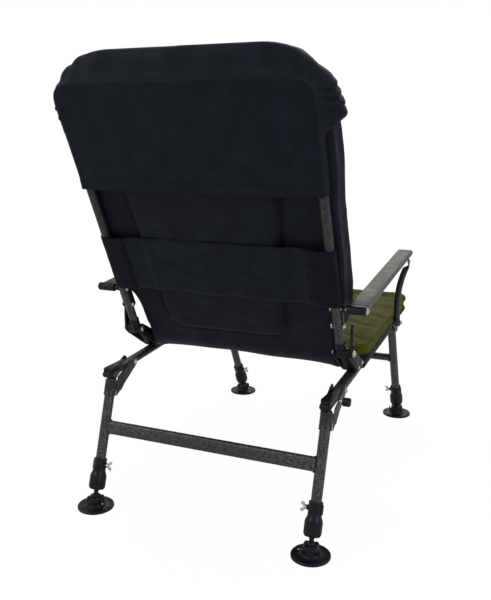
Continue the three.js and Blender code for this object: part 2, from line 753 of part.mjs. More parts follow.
function armPad() {
  const section = stadium(armWidth, armThick);
  const station = (y, widthShare) => ({
    outline: section.map((p) => new THREE.Vector2(p.x * widthShare, p.y)),
    centre: new THREE.Vector3(armMiddle, y, 0),
    across: new THREE.Vector3(1, 0, 0), over: new THREE.Vector3(0, 0, 1),
  });
  const nose = [];
  for (let step = 0; step <= bendSteps; step += 1) {
    const angle = (step / bendSteps) * (Math.PI / 2) * 0.85;
    const widthShare = 1 - (4 * armCorner / armWidth) * (1 - Math.cos(angle));
    nose.push(station(armFront + 2 * armCorner * (1 - Math.sin(angle)), widthShare));
  }
  return sweep([station(armSplit - gap, 1), ...nose]);
}

function armCap() {
  const half = armThick / 2;
  const outline = hullOutline([[0, 0, armNoseRadius], [armSplit + half, 0, half]], tubeSides);
  const square = sidePlate(outline, armInner, armOuter);
  const trim = box(armInner - overrun, armOuter + overrun, armSplit - armThick, armSplit,
    -armThick, armThick);
  const hole = crossRod(boltRadius + gap, armInner - overrun, armOuter + overrun, 0, 0);
  return cut(solid(square), trim, hole);
}

addPair(arm, 'armrest', armPad(), 'armrest');
addPair(arm, 'armrest_cap', armCap(), 'plastic');

// Strut: a round tube that bows outward and ends in a flat tab beside the armrest
const strutLean = THREE.MathUtils.radToDeg(Math.atan2(strutFootY - strutTopY, strutTopZ - strutFootZ));
const strutGroup = frameAt(strutFootY, strutFootZ, strutLean);
const strutLength = Math.hypot(strutTopY - strutFootY, strutTopZ - strutFootZ);

function armStrut() {
  const tabX = armOuter + gap + strutTabThick / 2;
  const tubeTop = strutLength - strutTabLength;
  const round = stadium(2 * strutRadius, 2 * strutRadius);
  const station = (x, z, thickShare = 1, widthShare = 1) => ({
    outline: round.map((p) => new THREE.Vector2(p.x * thickShare, p.y * widthShare)),
    centre: new THREE.Vector3(x, 0, z),
    across: new THREE.Vector3(1, 0, 0), over: new THREE.Vector3(0, 1, 0),
  });
  const flatShare = strutTabThick / (2 * strutRadius);
  const wideShare = strutEyeRadius / strutRadius;
  const shift = tabX - strutRadius - strutX;
  const bendShares = [0, 0.1, 0.25, 0.4, 0.55, 0.7, 0.82, 0.92, 1];
  const path = bendShares.map((share) =>
    station(strutX + shift * share ** 2, -strutRadius + (tubeTop + strutRadius) * share));
  path.push(station(tabX, tubeTop + strutTabThick * 2, flatShare, wideShare * 1.1));
  path.push(station(tabX, strutLength, flatShare, wideShare));
  path.push(station(tabX, strutLength + strutEyeRadius * 0.8, flatShare, wideShare * 0.55));
  const rod = sweep(path);
  const hole = crossRod(boltRadius + gap, strutX - 2 * strutRadius, strutX + 2 * strutRadius, 0, 0);
  const head = crossRod(boltHeadRadius, tabX, tabX + strutTabThick / 2 + boltHeadThick, 0, strutLength);
  return cut(solid(rod), hole).add(solid(head));
}

addPair(strutGroup, 'arm_strut', armStrut(), 'strut');

// Legs in their own tilted frames: the ball is the origin and the tube runs up +Z
const collarStop = collarWaist + overrun;
const wingRise = (collarShoulder + collarTop) / 2;
const barHalf = trackHalf - legRadius - gap;

function outerLeg(top, pivot) {
  const shell = pipe(legRadius, legRadius - legWall, collarStop + gap, top);
  const tube = solid(shell.translate(trackHalf, 0, 0));
  if (!pivot) return tube;
  const [from, to] = [trackHalf - 2 * legRadius, trackHalf + 2 * legRadius];
  return cut(tube, crossRod(boltRadius + gap, from, to, 0, pivot));
}

function collar() {
  const [tubeBore, rodBore] = [legRadius + gap, innerRadius + gap];
  const sleeve = turned([
    [rodBore, collarFoot], [collarRadius - collarChamfer, collarFoot],
    [collarRadius, collarFoot + collarChamfer], [collarRadius, collarWaist],
    [collarNeckRadius, collarShoulder], [collarNeckRadius, collarTop],
    [tubeBore, collarTop], [tubeBore, collarStop], [rodBore, collarStop], [rodBore, collarFoot],
  ]).translate(trackHalf, 0, 0);
  const hole = crossRod(wingShank + gap, trackHalf - 2 * collarRadius, trackHalf - rodBore, 0, wingRise);
  return cut(solid(sleeve), hole);
}

// Wing screw through the inner side of the collar
function wingScrew() {
  const tip = trackHalf - legRadius - gap;
  const root = trackHalf - collarNeckRadius - wingStandOff;
  const shank = crossRod(wingShank, root - weld, tip, 0, wingRise);
  const boss = crossRod(wingShank * 1.8, root - wingStandOff, root, 0, wingRise);
  const outline = hullOutline([
    [root - wingStandOff / 2, 0, wingStandOff / 2],
    [root - wingHeight, -wingSpan / 3, wingSpan / 6],
    [root - wingHeight, wingSpan / 3, wingSpan / 6]]);
  const shape = new THREE.Shape(outline);
  const wing = new THREE.ExtrudeGeometry(shape, { depth: wingThick, bevelEnabled: false });
  wing.translate(0, 0, -wingThick / 2).rotateX(Math.PI / 2).translate(0, 0, wingRise);
  return join(shank, boss, wing);
}

function innerLeg() {
  const profile = [[0, -ballRadius]];
  const neckAngle = Math.PI - Math.asin(neckRadius / ballRadius);
  for (let step = 1; step <= bendSteps; step += 1) {
    const angle = (step / bendSteps) * neckAngle;
    profile.push([ballRadius * Math.sin(angle), -ballRadius * Math.cos(angle)]);
  }
  const bore = innerRadius - innerWall;
  profile.push([neckRadius, innerShoulder - innerWall], [innerRadius, innerShoulder],
    [innerRadius, innerTop], [bore, innerTop], [bore, innerShoulder + bore], [0, innerShoulder + bore]);
  return turned(profile).translate(trackHalf, 0, 0);
}

function foot() {
  const socket = ballRadius + gap;
  const profile = [
    [0, 0], [footRadius, 0], [footRadius, footRim], [footRadius - footRimWidth, footRim],
    [footRadius - footRimWidth - footRimDraft, footFloor], [bossRadius + footRim, footFloor],
    [bossRadius, 2 * footFloor], [bossRadius, ballHeight - ballRadius],
    [bossTopRadius, ballHeight + bossRise],
  ];
  const openAngle = Math.asin(bossRise / socket);
  for (let step = 0; step <= bendSteps; step += 1) {
    const angle = openAngle - (step / bendSteps) * (openAngle + Math.PI / 2);
    profile.push([socket * Math.cos(angle), ballHeight + socket * Math.sin(angle)]);
  }
  profile.at(-1)[0] = 0;
  return turned(profile, footSides).translate(trackHalf, 0, 0);
}

// Rear bracket: the sleeve on the leg top and the two cheeks that reach forward to their bolt
function rearLegBracket() {
  const bolt = local(rearLegs, rearBoltY, rearBoltZ);
  const sleeve = pipe(legSleeveRadius, legRadius + gap, legSleeveLow, legSleeveHigh);
  sleeve.translate(trackHalf, 0, 0);
  const edge = cheekBackReach / 2;
  const outline = hullOutline([
    [bolt.y, bolt.z, cheekNoseRadius],
    [edge, legSleeveLow + edge, edge], [edge, legSleeveHigh - edge, edge],
    [-edge, legSleeveHigh + cheekNoseRadius, edge]], tubeSides);
  const cheeks = [[-cheekOuter, -cheekInner], [cheekInner, cheekOuter]].map(([from, to]) =>
    sidePlate(outline, trackHalf + from, trackHalf + to));
  const [inside, outside] = [trackHalf - 2 * cheekOuter, trackHalf + 2 * cheekOuter];
  const hole = crossRod(boltRadius + gap, inside, outside, bolt.y, bolt.z);
  const knob = local(rearLegs, knobY, knobZ);
  const knobHole = crossRod(boltRadius + gap, trackHalf, outside, knob.y, knob.z);
  return cut(join(sleeve, ...cheeks), hole, knobHole);
}

// Ribbed pull knob on a pin that stands in the right outer cheek
function lockKnob() {
  const knob = local(rearLegs, knobY, knobZ);
  const from = trackHalf + cheekOuter + knobStem;
  const outline = [];
  for (let rib = 0; rib < knobRibs * 2; rib += 1) {
    const angle = (rib / (knobRibs * 2)) * Math.PI * 2;
    const radius = knobRadius - (rib % 2) * knobRibDepth;
    outline.push(new THREE.Vector2(knob.y + radius * Math.cos(angle), knob.z + radius * Math.sin(angle)));
  }
  const grip = sidePlate(outline, from, from + knobLength);
  const pin = crossRod(boltRadius, trackHalf + cheekInner, from + weld, knob.y, knob.z);
  const nose = crossRod(knobRadius * 0.55, trackHalf + cheekOuter + gap, from + weld, knob.y, knob.z);
  return join(grip, pin, nose);
}

function rearCrossbar() {
  const outline = stadium(rearBarWidth, rearBarHeight);
  const rise = (rearBarZ - ballHeight) / Math.cos(rearLegs.rotation.x);
  return sweep([-barHalf, barHalf].map((x) => ({
    outline, centre: new THREE.Vector3(x, 0, rise),
    across: new THREE.Vector3(0, 1, 0), over: new THREE.Vector3(0, 0, 1),
  })));
}

function frontCrossbar() {
  const rise = (frontBarZ - ballHeight) / Math.cos(frontLegs.rotation.x);
  return crossRod(frontBarRadius, -barHalf, barHalf, 0, rise, tubeSides);
}

addPair(rearLegs, 'rear_leg', outerLeg(rearLegTop), 'frame');
addPair(rearLegs, 'rear_collar', collar(), 'plastic');
addPair(rearLegs, 'rear_wing_screw', wingScrew(), 'steel');
addPair(rearLegs, 'rear_inner_leg', innerLeg(), 'steel');
addPair(rearLegs, 'rear_leg_bracket', rearLegBracket(), 'frame');
add(rearLegs, 'rear_crossbar', rearCrossbar(), 'frame');
add(rearLegs, 'lock_knob', mirrored(lockKnob()), 'plastic');
addPair(rearFeet, 'rear_foot', foot(), 'plastic');
addPair(frontLegs, 'front_leg', outerLeg(frontLegPivot + frontLegOver, frontLegPivot), 'frame');
addPair(frontLegs, 'front_collar', collar(), 'plastic');
addPair(frontLegs, 'front_wing_screw', wingScrew(), 'steel');
addPair(frontLegs, 'front_inner_leg', innerLeg(), 'steel');
add(frontLegs, 'front_crossbar', frontCrossbar(), 'frame');
addPair(frontFeet, 'front_foot', foot(), 'plastic');

// Stand the chair on the floor with the middle of its box over the origin
chair.updateMatrixWorld(true);
const whole = new THREE.Box3().setFromObject(chair, true);
const middle = whole.getCenter(new THREE.Vector3());
chair.position.set(-middle.x, -middle.y, -whole.min.z);
chair.updateMatrixWorld(true);

export default chair;
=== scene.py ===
# Folding carp fishing chair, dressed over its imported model.
# Lengths are in metres. +X is the sitter's left, +Y points to the rear and +Z up.
import math

import bmesh
import bpy
from mathutils import Matrix, Vector, noise


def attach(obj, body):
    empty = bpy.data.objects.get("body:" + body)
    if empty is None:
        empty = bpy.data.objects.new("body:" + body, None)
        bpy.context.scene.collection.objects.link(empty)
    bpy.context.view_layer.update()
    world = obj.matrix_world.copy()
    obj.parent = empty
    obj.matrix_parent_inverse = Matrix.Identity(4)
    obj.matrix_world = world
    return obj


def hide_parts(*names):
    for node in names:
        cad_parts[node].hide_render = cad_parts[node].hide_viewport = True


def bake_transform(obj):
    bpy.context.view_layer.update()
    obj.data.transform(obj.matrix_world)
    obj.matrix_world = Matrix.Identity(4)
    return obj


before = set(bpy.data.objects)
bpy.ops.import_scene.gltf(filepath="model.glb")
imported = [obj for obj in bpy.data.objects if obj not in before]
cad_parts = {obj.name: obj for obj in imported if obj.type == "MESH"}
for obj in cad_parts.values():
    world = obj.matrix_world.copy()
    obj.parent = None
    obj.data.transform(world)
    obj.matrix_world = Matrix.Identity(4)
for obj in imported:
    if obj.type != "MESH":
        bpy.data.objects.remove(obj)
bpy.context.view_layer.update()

scene = bpy.context.scene


# Places that the pieces share

def tilted(y, z, degrees):
    return Matrix.Translation((0, y, z)) @ Matrix.Rotation(math.radians(degrees), 4, "X")


REAR_FOOT, FRONT_FOOT = 0.39711, -0.44139
FOOT_BALL = 0.025
REAR_LEAN, FRONT_LEAN = 18.3, -28.9
STRUT_FOOT = (-0.24139, 0.331)
FRONT_BOLT = (-0.28882, 0.30138)
REAR_BOLT = (0.23961, 0.295)
KNOB_PIN = (0.28561, 0.288)
SEAT = tilted(0.32661, 0.288, -3.5)
BACK = tilted(0.22291, 0.3917, -25.77)
REAR_LEGS = tilted(REAR_FOOT, FOOT_BALL, REAR_LEAN)
FRONT_LEGS = tilted(FRONT_FOOT, FOOT_BALL, FRONT_LEAN)
REAR_FEET = tilted(REAR_FOOT, 0, 0)
FRONT_FEET = tilted(FRONT_FOOT, 0, 0)
ARM = tilted(0.26117, 0.47095, -5.9)
STRUT = tilted(*STRUT_FOOT, -26.43)
SIDES = (("L", "left"), ("R", "right"))

# Distances from the middle plane
TRACK, UPRIGHT, ARM_X, STRUT_X = 0.250, 0.245, 0.287, 0.2731

# The bends of the back's tube
BEND_X, BEND_RISE = UPRIGHT - 0.058, 0.5503 - 0.058
LEG_AXIS = Matrix.Translation((TRACK, 0, 0))


def seat_local(y, z):
    spot = SEAT.inverted() @ Vector((0, y, z))
    return spot.y, spot.z


HINGE_Y, HINGE_Z = seat_local(0.21091, 0.36684)


def clamp(value):
    return min(1, max(0, value))


# Shader node helpers

def feed(tree, socket, value):
    """Gives a socket a plain value or a link from another node."""
    if isinstance(value, bpy.types.NodeSocket):
        tree.links.new(value, socket)
    else:
        socket.default_value = value


def node(tree, kind, inputs=None, **settings):
    made = tree.nodes.new("ShaderNode" + kind)
    for name, value in settings.items():
        setattr(made, name, value)
    for name, value in (inputs or {}).items():
        feed(tree, made.inputs[name], value)
    return made


def calc(tree, operation, *values):
    made = node(tree, "Math", operation=operation)
    for socket, value in zip(made.inputs, values):
        feed(tree, socket, value)
    return made.outputs[0]


def ramp(tree, value, low, high, start=0.0, end=1.0):
    made = node(tree, "MapRange", {"Value": value, "From Min": low, "From Max": high,
                                   "To Min": start, "To Max": end}, interpolation_type="SMOOTHSTEP")
    return made.outputs["Result"]


def blend_colour(tree, factor, first, second):
    made = node(tree, "Mix", data_type="RGBA")
    for index, value in ((0, factor), (6, first), (7, second)):
        feed(tree, made.inputs[index], value)
    return made.outputs[2]


def noise_value(tree, vector, scale, detail=2.0, roughness=0.5):
    return node(tree, "TexNoise", {"Vector": vector, "Scale": scale, "Detail": detail,
                                   "Roughness": roughness}).outputs["Fac"]


def effect(name, inputs, outputs):
    tree = bpy.data.node_groups.new(name, "ShaderNodeTree")
    kinds = {"value": "NodeSocketFloat", "vector": "NodeSocketVector", "colour": "NodeSocketColor"}
    for way, sockets in (("INPUT", inputs), ("OUTPUT", outputs)):
        for label, kind, start in sockets:
            made = tree.interface.new_socket(label, in_out=way, socket_type=kinds[kind])
            if start is not None:
                made.default_value = start
    given = tree.nodes.new("NodeGroupInput").outputs
    result = tree.nodes.new("NodeGroupOutput").inputs
    return tree, given, result


# Effects that several materials use

WEAVE, given, result = effect(
    "cloth_weave", [("Vector", "vector", None), ("Pitch", "value", 0.0012)],
    [("Height", "value", None), ("Tint", "value", None)])
turn = calc(WEAVE, "DIVIDE", 2 * math.pi, given["Pitch"])
parts = node(WEAVE, "SeparateXYZ", {"Vector": given["Vector"]}).outputs
warp = calc(WEAVE, "SINE", calc(WEAVE, "MULTIPLY", parts["X"], turn))
weft = calc(WEAVE, "SINE", calc(WEAVE, "MULTIPLY", parts["Y"], turn))
threads = calc(WEAVE, "MULTIPLY", warp, weft)
slub = noise_value(WEAVE, given["Vector"], 900.0, 3.0)
height = calc(WEAVE, "MULTIPLY_ADD", threads, 0.35, slub)
WEAVE.links.new(height, result["Height"])
broad = noise_value(WEAVE, given["Vector"], 22.0, 3.0, 0.6)
WEAVE.links.new(calc(WEAVE, "MULTIPLY_ADD", slub, 0.35, broad), result["Tint"])

HAMMER, given, result = effect(
    "hammertone", [("Vector", "vector", None), ("Cells", "value", 420.0)],
    [("Height", "value", None), ("Fleck", "value", None)])
cells = node(HAMMER, "TexVoronoi", {"Vector": given["Vector"], "Scale": given["Cells"], "Smoothness": 0.6},
             feature="SMOOTH_F1").outputs["Distance"]
HAMMER.links.new(calc(HAMMER, "MULTIPLY", cells, -1.0), result["Height"])
spots = node(HAMMER, "TexVoronoi", {"Vector": given["Vector"],
                                    "Scale": calc(HAMMER, "MULTIPLY", given["Cells"], 0.8)})
cloudy = noise_value(HAMMER, given["Vector"], 160.0, 2.0)
fleck = calc(HAMMER, "MULTIPLY", ramp(HAMMER, spots.outputs["Distance"], 0.45, 0.1),
             ramp(HAMMER, cloudy, 0.35, 0.62))
HAMMER.links.new(fleck, result["Fleck"])

GRAIN, given, result = effect(
    "moulded_grain", [("Vector", "vector", None), ("Scale", "value", 900.0)],
    [("Height", "value", None), ("Cloud", "value", None)])
fine = noise_value(GRAIN, given["Vector"], given["Scale"], 4.0, 0.65)
GRAIN.links.new(fine, result["Height"])
GRAIN.links.new(noise_value(GRAIN, given["Vector"], 45.0, 3.0, 0.6), result["Cloud"])

WEAR, given, result = effect(
    "edge_wear", [("Vector", "vector", None), ("Amount", "value", 0.5)], [("Mask", "value", None)])
edge = ramp(WEAR, node(WEAR, "NewGeometry").outputs["Pointiness"], 0.515, 0.60)
patch = ramp(WEAR, noise_value(WEAR, given["Vector"], 260.0, 4.0, 0.65), 0.42, 0.62)
WEAR.links.new(calc(WEAR, "MULTIPLY", calc(WEAR, "MULTIPLY", edge, patch), given["Amount"]), result["Mask"])

DUST, given, result = effect(
    "ground_dust", [("Vector", "vector", None), ("Reach", "value", 0.06)], [("Mask", "value", None)])
above = node(DUST, "SeparateXYZ", {"Vector": given["Vector"]}).outputs["Z"]
low = calc(DUST, "SUBTRACT", 1.0, calc(DUST, "DIVIDE", above, given["Reach"]))
specks = ramp(DUST, noise_value(DUST, given["Vector"], 120.0, 5.0, 0.7), 0.45, 0.75)
DUST.links.new(calc(DUST, "MULTIPLY", node(DUST, "Clamp", {"Value": low}).outputs[0], specks), result["Mask"])

STITCH, given, result = effect(
    "stitch_row", [("Along", "value", 0.0), ("Away", "value", 0.0), ("Step", "value", 0.004)],
    [("Thread", "value", None), ("Height", "value", None)])
along = calc(STITCH, "PINGPONG", given["Along"], given["Step"])
dash = ramp(STITCH, calc(STITCH, "DIVIDE", along, given["Step"]), 0.28, 0.42)
line = ramp(STITCH, calc(STITCH, "ABSOLUTE", given["Away"]), 0.0009, 0.0004)
STITCH.links.new(calc(STITCH, "MULTIPLY", dash, line), result["Thread"])
dent = ramp(STITCH, calc(STITCH, "ABSOLUTE", given["Away"]), 0.0, 0.0035, -1.0, 0.0)
STITCH.links.new(calc(STITCH, "MULTIPLY_ADD", calc(STITCH, "MULTIPLY", dash, line), 0.8, dent), result["Height"])


def use(tree, group, **inputs):
    made = tree.nodes.new("ShaderNodeGroup")
    made.node_tree = group
    for name, value in inputs.items():
        feed(tree, made.inputs[name], value)
    return made.outputs


def surface(name, rough, metal=0.0, **sockets):
    made = bpy.data.materials.new(name)
    made.use_nodes = True
    tree = made.node_tree
    shader = tree.nodes["Principled BSDF"]
    shader.inputs["Roughness"].default_value = rough
    shader.inputs["Metallic"].default_value = metal
    for label, value in sockets.items():
        shader.inputs[label.replace("_", " ")].default_value = value
    return made, tree, shader, node(tree, "TexCoord").outputs["Object"]


def bump(tree, shader, height, strength, distance, under=None):
    inputs = {"Height": height, "Strength": strength, "Distance": distance}
    if under is not None:
        inputs["Normal"] = under
    made = node(tree, "Bump", inputs).outputs["Normal"]
    tree.links.new(made, shader.inputs["Normal"])
    return made


def painted(name, dark, light, cells, rough, metal):
    made, tree, shader, place = surface(name, rough, metal)
    skin = use(tree, HAMMER, Vector=place, Cells=cells)
    worn = use(tree, WEAR, Vector=place, Amount=0.55)["Mask"]
    dusty = use(tree, DUST, Vector=place, Reach=0.10)["Mask"]
    colour = blend_colour(tree, skin["Fleck"], (*dark, 1), (*light, 1))
    colour = blend_colour(tree, worn, colour, (0.22, 0.22, 0.22, 1))
    colour = blend_colour(tree, calc(tree, "MULTIPLY", dusty, 0.18), colour, (0.16, 0.14, 0.12, 1))
    tree.links.new(colour, shader.inputs["Base Color"])
    tree.links.new(ramp(tree, skin["Fleck"], 0.0, 1.0, rough, rough - 0.12), shader.inputs["Roughness"])
    bump(tree, shader, skin["Height"], 0.35, 0.0006)
    return made


def moulded(name, colour, rough, grain=900.0, lift=0.00012, wear=0.35, dust=0.10):
    made, tree, shader, place = surface(name, rough, Specular_IOR_Level=0.26)
    skin = use(tree, GRAIN, Vector=place, Scale=grain)
    worn = use(tree, WEAR, Vector=place, Amount=wear)["Mask"]
    dusty = use(tree, DUST, Vector=place, Reach=0.07)["Mask"]
    pale = tuple(min(1.0, c * 1.7 + 0.006) for c in colour)
    shade = blend_colour(tree, ramp(tree, skin["Cloud"], 0.3, 0.7), (*(c * 0.85 for c in colour), 1),
                         (*(c * 1.2 for c in colour), 1))
    shade = blend_colour(tree, worn, shade, (*pale, 1))
    shade = blend_colour(tree, calc(tree, "MULTIPLY", dusty, dust), shade, (0.13, 0.12, 0.10, 1))
    tree.links.new(shade, shader.inputs["Base Color"])
    tree.links.new(ramp(tree, skin["Cloud"], 0.3, 0.7, rough - 0.07, rough + 0.08), shader.inputs["Roughness"])
    bump(tree, shader, skin["Height"], 0.4, lift)
    return made


def plated(name, colour, rough):
    made, tree, shader, place = surface(name, rough, 1.0)
    skin = use(tree, GRAIN, Vector=place, Scale=1400.0)
    shade = blend_colour(tree, ramp(tree, skin["Cloud"], 0.3, 0.7), (*(c * 0.82 for c in colour), 1), (*colour, 1))
    tree.links.new(shade, shader.inputs["Base Color"])
    tree.links.new(ramp(tree, skin["Height"], 0.3, 0.7, rough - 0.08, rough + 0.12), shader.inputs["Roughness"])
    bump(tree, shader, skin["Height"], 0.25, 0.0001)
    return made


def cloth(name, colour, rough, sheen, pitch=0.0011, crumple=0.0012, weave=0.55):
    """Woven cloth on the piece's own UV map, which is laid out in metres."""
    made, tree, shader, _ = surface(name, rough, Sheen_Weight=sheen, Sheen_Roughness=0.45,
                                    Specular_IOR_Level=0.10)
    flat = node(tree, "UVMap", uv_map="cloth").outputs["UV"]
    skin = use(tree, WEAVE, Vector=flat, Pitch=pitch)
    dim = tuple(c * 0.78 for c in colour)
    bright = tuple(c * 1.28 for c in colour)
    shade = blend_colour(tree, ramp(tree, skin["Tint"], 0.45, 0.95), (*dim, 1), (*bright, 1))
    tree.links.new(shade, shader.inputs["Base Color"])
    tree.links.new(ramp(tree, skin["Tint"], 0.4, 1.0, rough + 0.06, rough - 0.06), shader.inputs["Roughness"])
    folds = noise_value(tree, flat, 16.0, 3.0, 0.55)
    soft = bump(tree, shader, folds, 0.5, crumple * 4)
    bump(tree, shader, skin["Height"], weave, 0.00022, soft)
    return made, tree, shader, flat, shade


def sewn(tree, shader, shade, thread_mask, dent, thread):
    """Stitches over a cloth: the thread's colour and a groove along its row."""
    colour = blend_colour(tree, thread_mask, shade, (*thread, 1))
    tree.links.new(colour, shader.inputs["Base Color"])
    first = shader.inputs["Normal"].links[0].from_socket
    bump(tree, shader, dent, 0.6, 0.0012, first)


hammered_grey = painted("hammered_grey", (0.027, 0.028, 0.030), (0.124, 0.125, 0.123), 420.0, 0.42, 0.55)
dark_tube = painted("dark_tube", (0.016, 0.016, 0.018), (0.07, 0.07, 0.072), 520.0, 0.45, 0.35)
armrest_grey = moulded("armrest_grey", (0.104, 0.098, 0.084), 0.54, 1100.0, 0.00010, 0.12, 0.0)
black_plastic = moulded("black_plastic", (0.0050, 0.0044, 0.0086), 0.40, 900.0, 0.00012, 0.20, 0.04)
black_coated = moulded("black_coated", (0.0042, 0.0040, 0.0056), 0.55, 700.0, 0.0001, 0.12, 0.0)
bright_steel = plated("bright_steel", (0.66, 0.67, 0.68), 0.26)
inner_steel = plated("inner_steel", (0.42, 0.43, 0.44), 0.34)
BLACK = (0.0068, 0.0092, 0.0145)
OLIVE = (0.069, 0.068, 0.0035)
elastic_cloth = cloth("elastic_cloth", (0.0044, 0.0060, 0.0088), 0.7, 0.02, 0.0024, 0.0004, 0.9)[0]


# Mesh helpers

def finish_mesh(bm, name, materials, body, at=None, crease=35.0, recalc=True):
    if at is not None:
        bmesh.ops.transform(bm, matrix=at, verts=bm.verts)
    bmesh.ops.remove_doubles(bm, verts=bm.verts, dist=1e-6)
    if recalc:
        bmesh.ops.recalc_face_normals(bm, faces=bm.faces)
    mesh = bpy.data.meshes.new(name)
    bm.to_mesh(mesh)
    bm.free()
    mesh.polygons.foreach_set("use_smooth", [True] * len(mesh.polygons))
    mesh.set_sharp_from_angle(angle=math.radians(crease))
    for material in materials:
        mesh.materials.append(material)
    made = bpy.data.objects.new(name, mesh)
    scene.collection.objects.link(made)
    if body:
        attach(made, body)
    return made


def flipped(bm):
    twin = bm.copy()
    bmesh.ops.transform(twin, matrix=Matrix.Scale(-1, 4, (1, 0, 0)), verts=twin.verts)
    return twin


def pair(bm, name, materials, body, at=None, crease=35.0, stands_for=()):
    """The left piece and its mirrored right twin."""
    for (letter, side), shape in zip(SIDES, (bm, flipped(bm))):
        made = finish_mesh(shape, f"{name}_{letter}", materials, body.format(side=side), at, crease)
        if stands_for:
            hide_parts(*[f"{stem}_{letter}" for stem in stands_for])


def verts_of(geometry):
    return [item for item in geometry if isinstance(item, bmesh.types.BMVert)]


def edges_of(geometry):
    return [item for item in geometry if isinstance(item, bmesh.types.BMEdge)]


def faces_of(geometry):
    return [item for item in geometry if isinstance(item, bmesh.types.BMFace)]


def paint(bm, count, index):
    """Gives the faces after the first `count` a material index."""
    bm.faces.ensure_lookup_table()
    for face in bm.faces[count:]:
        face.material_index = index


def round_edges(bm, edges, size, segments=2):
    bmesh.ops.bevel(bm, geom=edges, offset=size, offset_type="OFFSET", segments=segments, profile=0.5,
                    affect="EDGES", material=-1)


def sharp_edges(bm, angle):
    return [edge for edge in bm.edges if edge.calc_face_angle(0) > angle]


def turned(bm, profile, at=None, sides=40, loop=False, index=0):
    """A profile of radius and height spun round Z."""
    before = len(bm.faces)
    verts = [bm.verts.new((radius, 0, height)) for radius, height in profile]
    ends = verts[1:] + verts[:1] if loop else verts[1:]
    edges = [bm.edges.new(ends_pair) for ends_pair in zip(verts, ends)]
    old = set(bm.verts) - set(verts)
    bmesh.ops.spin(bm, geom=verts + edges, cent=(0, 0, 0), axis=(0, 0, 1), angle=2 * math.pi,
                   steps=sides, use_merge=True)
    new = [vert for vert in bm.verts if vert not in old]
    if at is not None:
        bmesh.ops.transform(bm, matrix=at, verts=new)
    bmesh.ops.remove_doubles(bm, verts=new, dist=1e-6)
    paint(bm, before, index)


def along_x(x, y, z):
    """Stands a turned piece along X, with its zero height at x."""
    return Matrix.Translation((x, y, z)) @ Matrix.Rotation(math.radians(90), 4, "Y")


def along_y(x, y, z):
    """Stands a ring across Y."""
    return Matrix.Translation((x, y, z)) @ Matrix.Rotation(math.radians(90), 4, "X")


def rod(bm, radius, x0, x1, y, z, sides=32, round_ends=0.0004, index=0):
    length = x1 - x0
    cut = min(round_ends, radius * 0.4)
    turned(bm, [(0, 0), (radius - cut, 0), (radius, cut), (radius, length - cut), (radius - cut, length),
                (0, length)], along_x(x0, y, z), sides, index=index)


def bolt_head(bm, radius, thick, x, y, z, way=1, index=0):
    """A domed head on a washer, facing +X or -X."""
    profile = [(0, 0), (radius * 1.25, 0), (radius * 1.25, thick * 0.25), (radius, thick * 0.3),
               (radius, thick * 0.55), (radius * 0.85, thick * 0.85), (radius * 0.5, thick), (0, thick)]
    turned(bm, [(r, way * h) for r, h in profile], along_x(x, y, z), 28, index=index)


def hex_nut(bm, radius, thick, x, y, z, way=1, index=0):
    """A washer, a six-sided nut with turned corners and the thread's end."""
    turned(bm, [(0, 0), (radius * 1.35, 0), (radius * 1.35, way * thick * 0.22), (0, way * thick * 0.22)],
           along_x(x, y, z), 28, index=index)
    before = len(bm.faces)
    ring = bmesh.ops.create_circle(bm, cap_ends=True, radius=radius * 1.1, segments=6)["verts"]
    face = ring[0].link_faces[0]
    moved = bmesh.ops.extrude_face_region(bm, geom=[face])["geom"]
    top = verts_of(moved)
    bmesh.ops.translate(bm, vec=(0, 0, way * thick * 0.9), verts=top)
    bmesh.ops.transform(bm, matrix=along_x(x, y, z), verts=ring + top)
    rims = [edge for edge in {e for v in top for e in v.link_edges} if edge.calc_face_angle(0) > 0.6]
    round_edges(bm, rims, radius * 0.1)
    paint(bm, before, index)
    turned(bm, [(0, 0), (radius * 0.52, 0), (radius * 0.52, way * thick * 1.2),
                (radius * 0.4, way * thick * 1.35), (0, way * thick * 1.35)],
           along_x(x, y, z), 20, index=index)


def hull_plate(shell, bevel):
    """Closes loose circles into one flat plate round them, with rounded edges."""
    hull = bmesh.ops.convex_hull(shell, input=shell.verts[:])
    spare = set(hull["geom_interior"]) | set(hull["geom_unused"])
    bmesh.ops.delete(shell, geom=verts_of(spare), context="VERTS")
    bmesh.ops.dissolve_limit(shell, angle_limit=0.01, verts=shell.verts[:], edges=shell.edges[:])
    round_edges(shell, sharp_edges(shell, 0.9), bevel)


def lobes(bm, circles, x0, x1, bevel=0.0006, index=0, segments=28):
    """A flat plate from x0 to x1 stretched round circles (y, z, radius) of the side view."""
    shell = bmesh.new()
    for y, z, radius in circles:
        for x in (x0, x1):
            bmesh.ops.create_circle(shell, cap_ends=False, radius=radius, segments=segments, matrix=along_x(x, y, z))
    hull_plate(shell, bevel)
    paint(shell, 0, index)
    adopt(bm, shell)


def adopt(bm, other):
    """Moves another bmesh's shape into this one."""
    mesh = bpy.data.meshes.new("passing")
    other.to_mesh(mesh)
    other.free()
    bm.from_mesh(mesh)
    bpy.data.meshes.remove(mesh)


def block(bm, low, high, bevel=0.001, index=0, segments=2):
    shell = bmesh.new()
    bmesh.ops.create_cube(shell, size=1)
    size = Vector(high) - Vector(low)
    middle = (Vector(high) + Vector(low)) / 2
    bmesh.ops.transform(shell, matrix=Matrix.Translation(middle) @ Matrix.Diagonal((*size, 1)), verts=shell.verts)
    round_edges(shell, shell.edges[:], bevel, segments)
    paint(shell, 0, index)
    adopt(bm, shell)


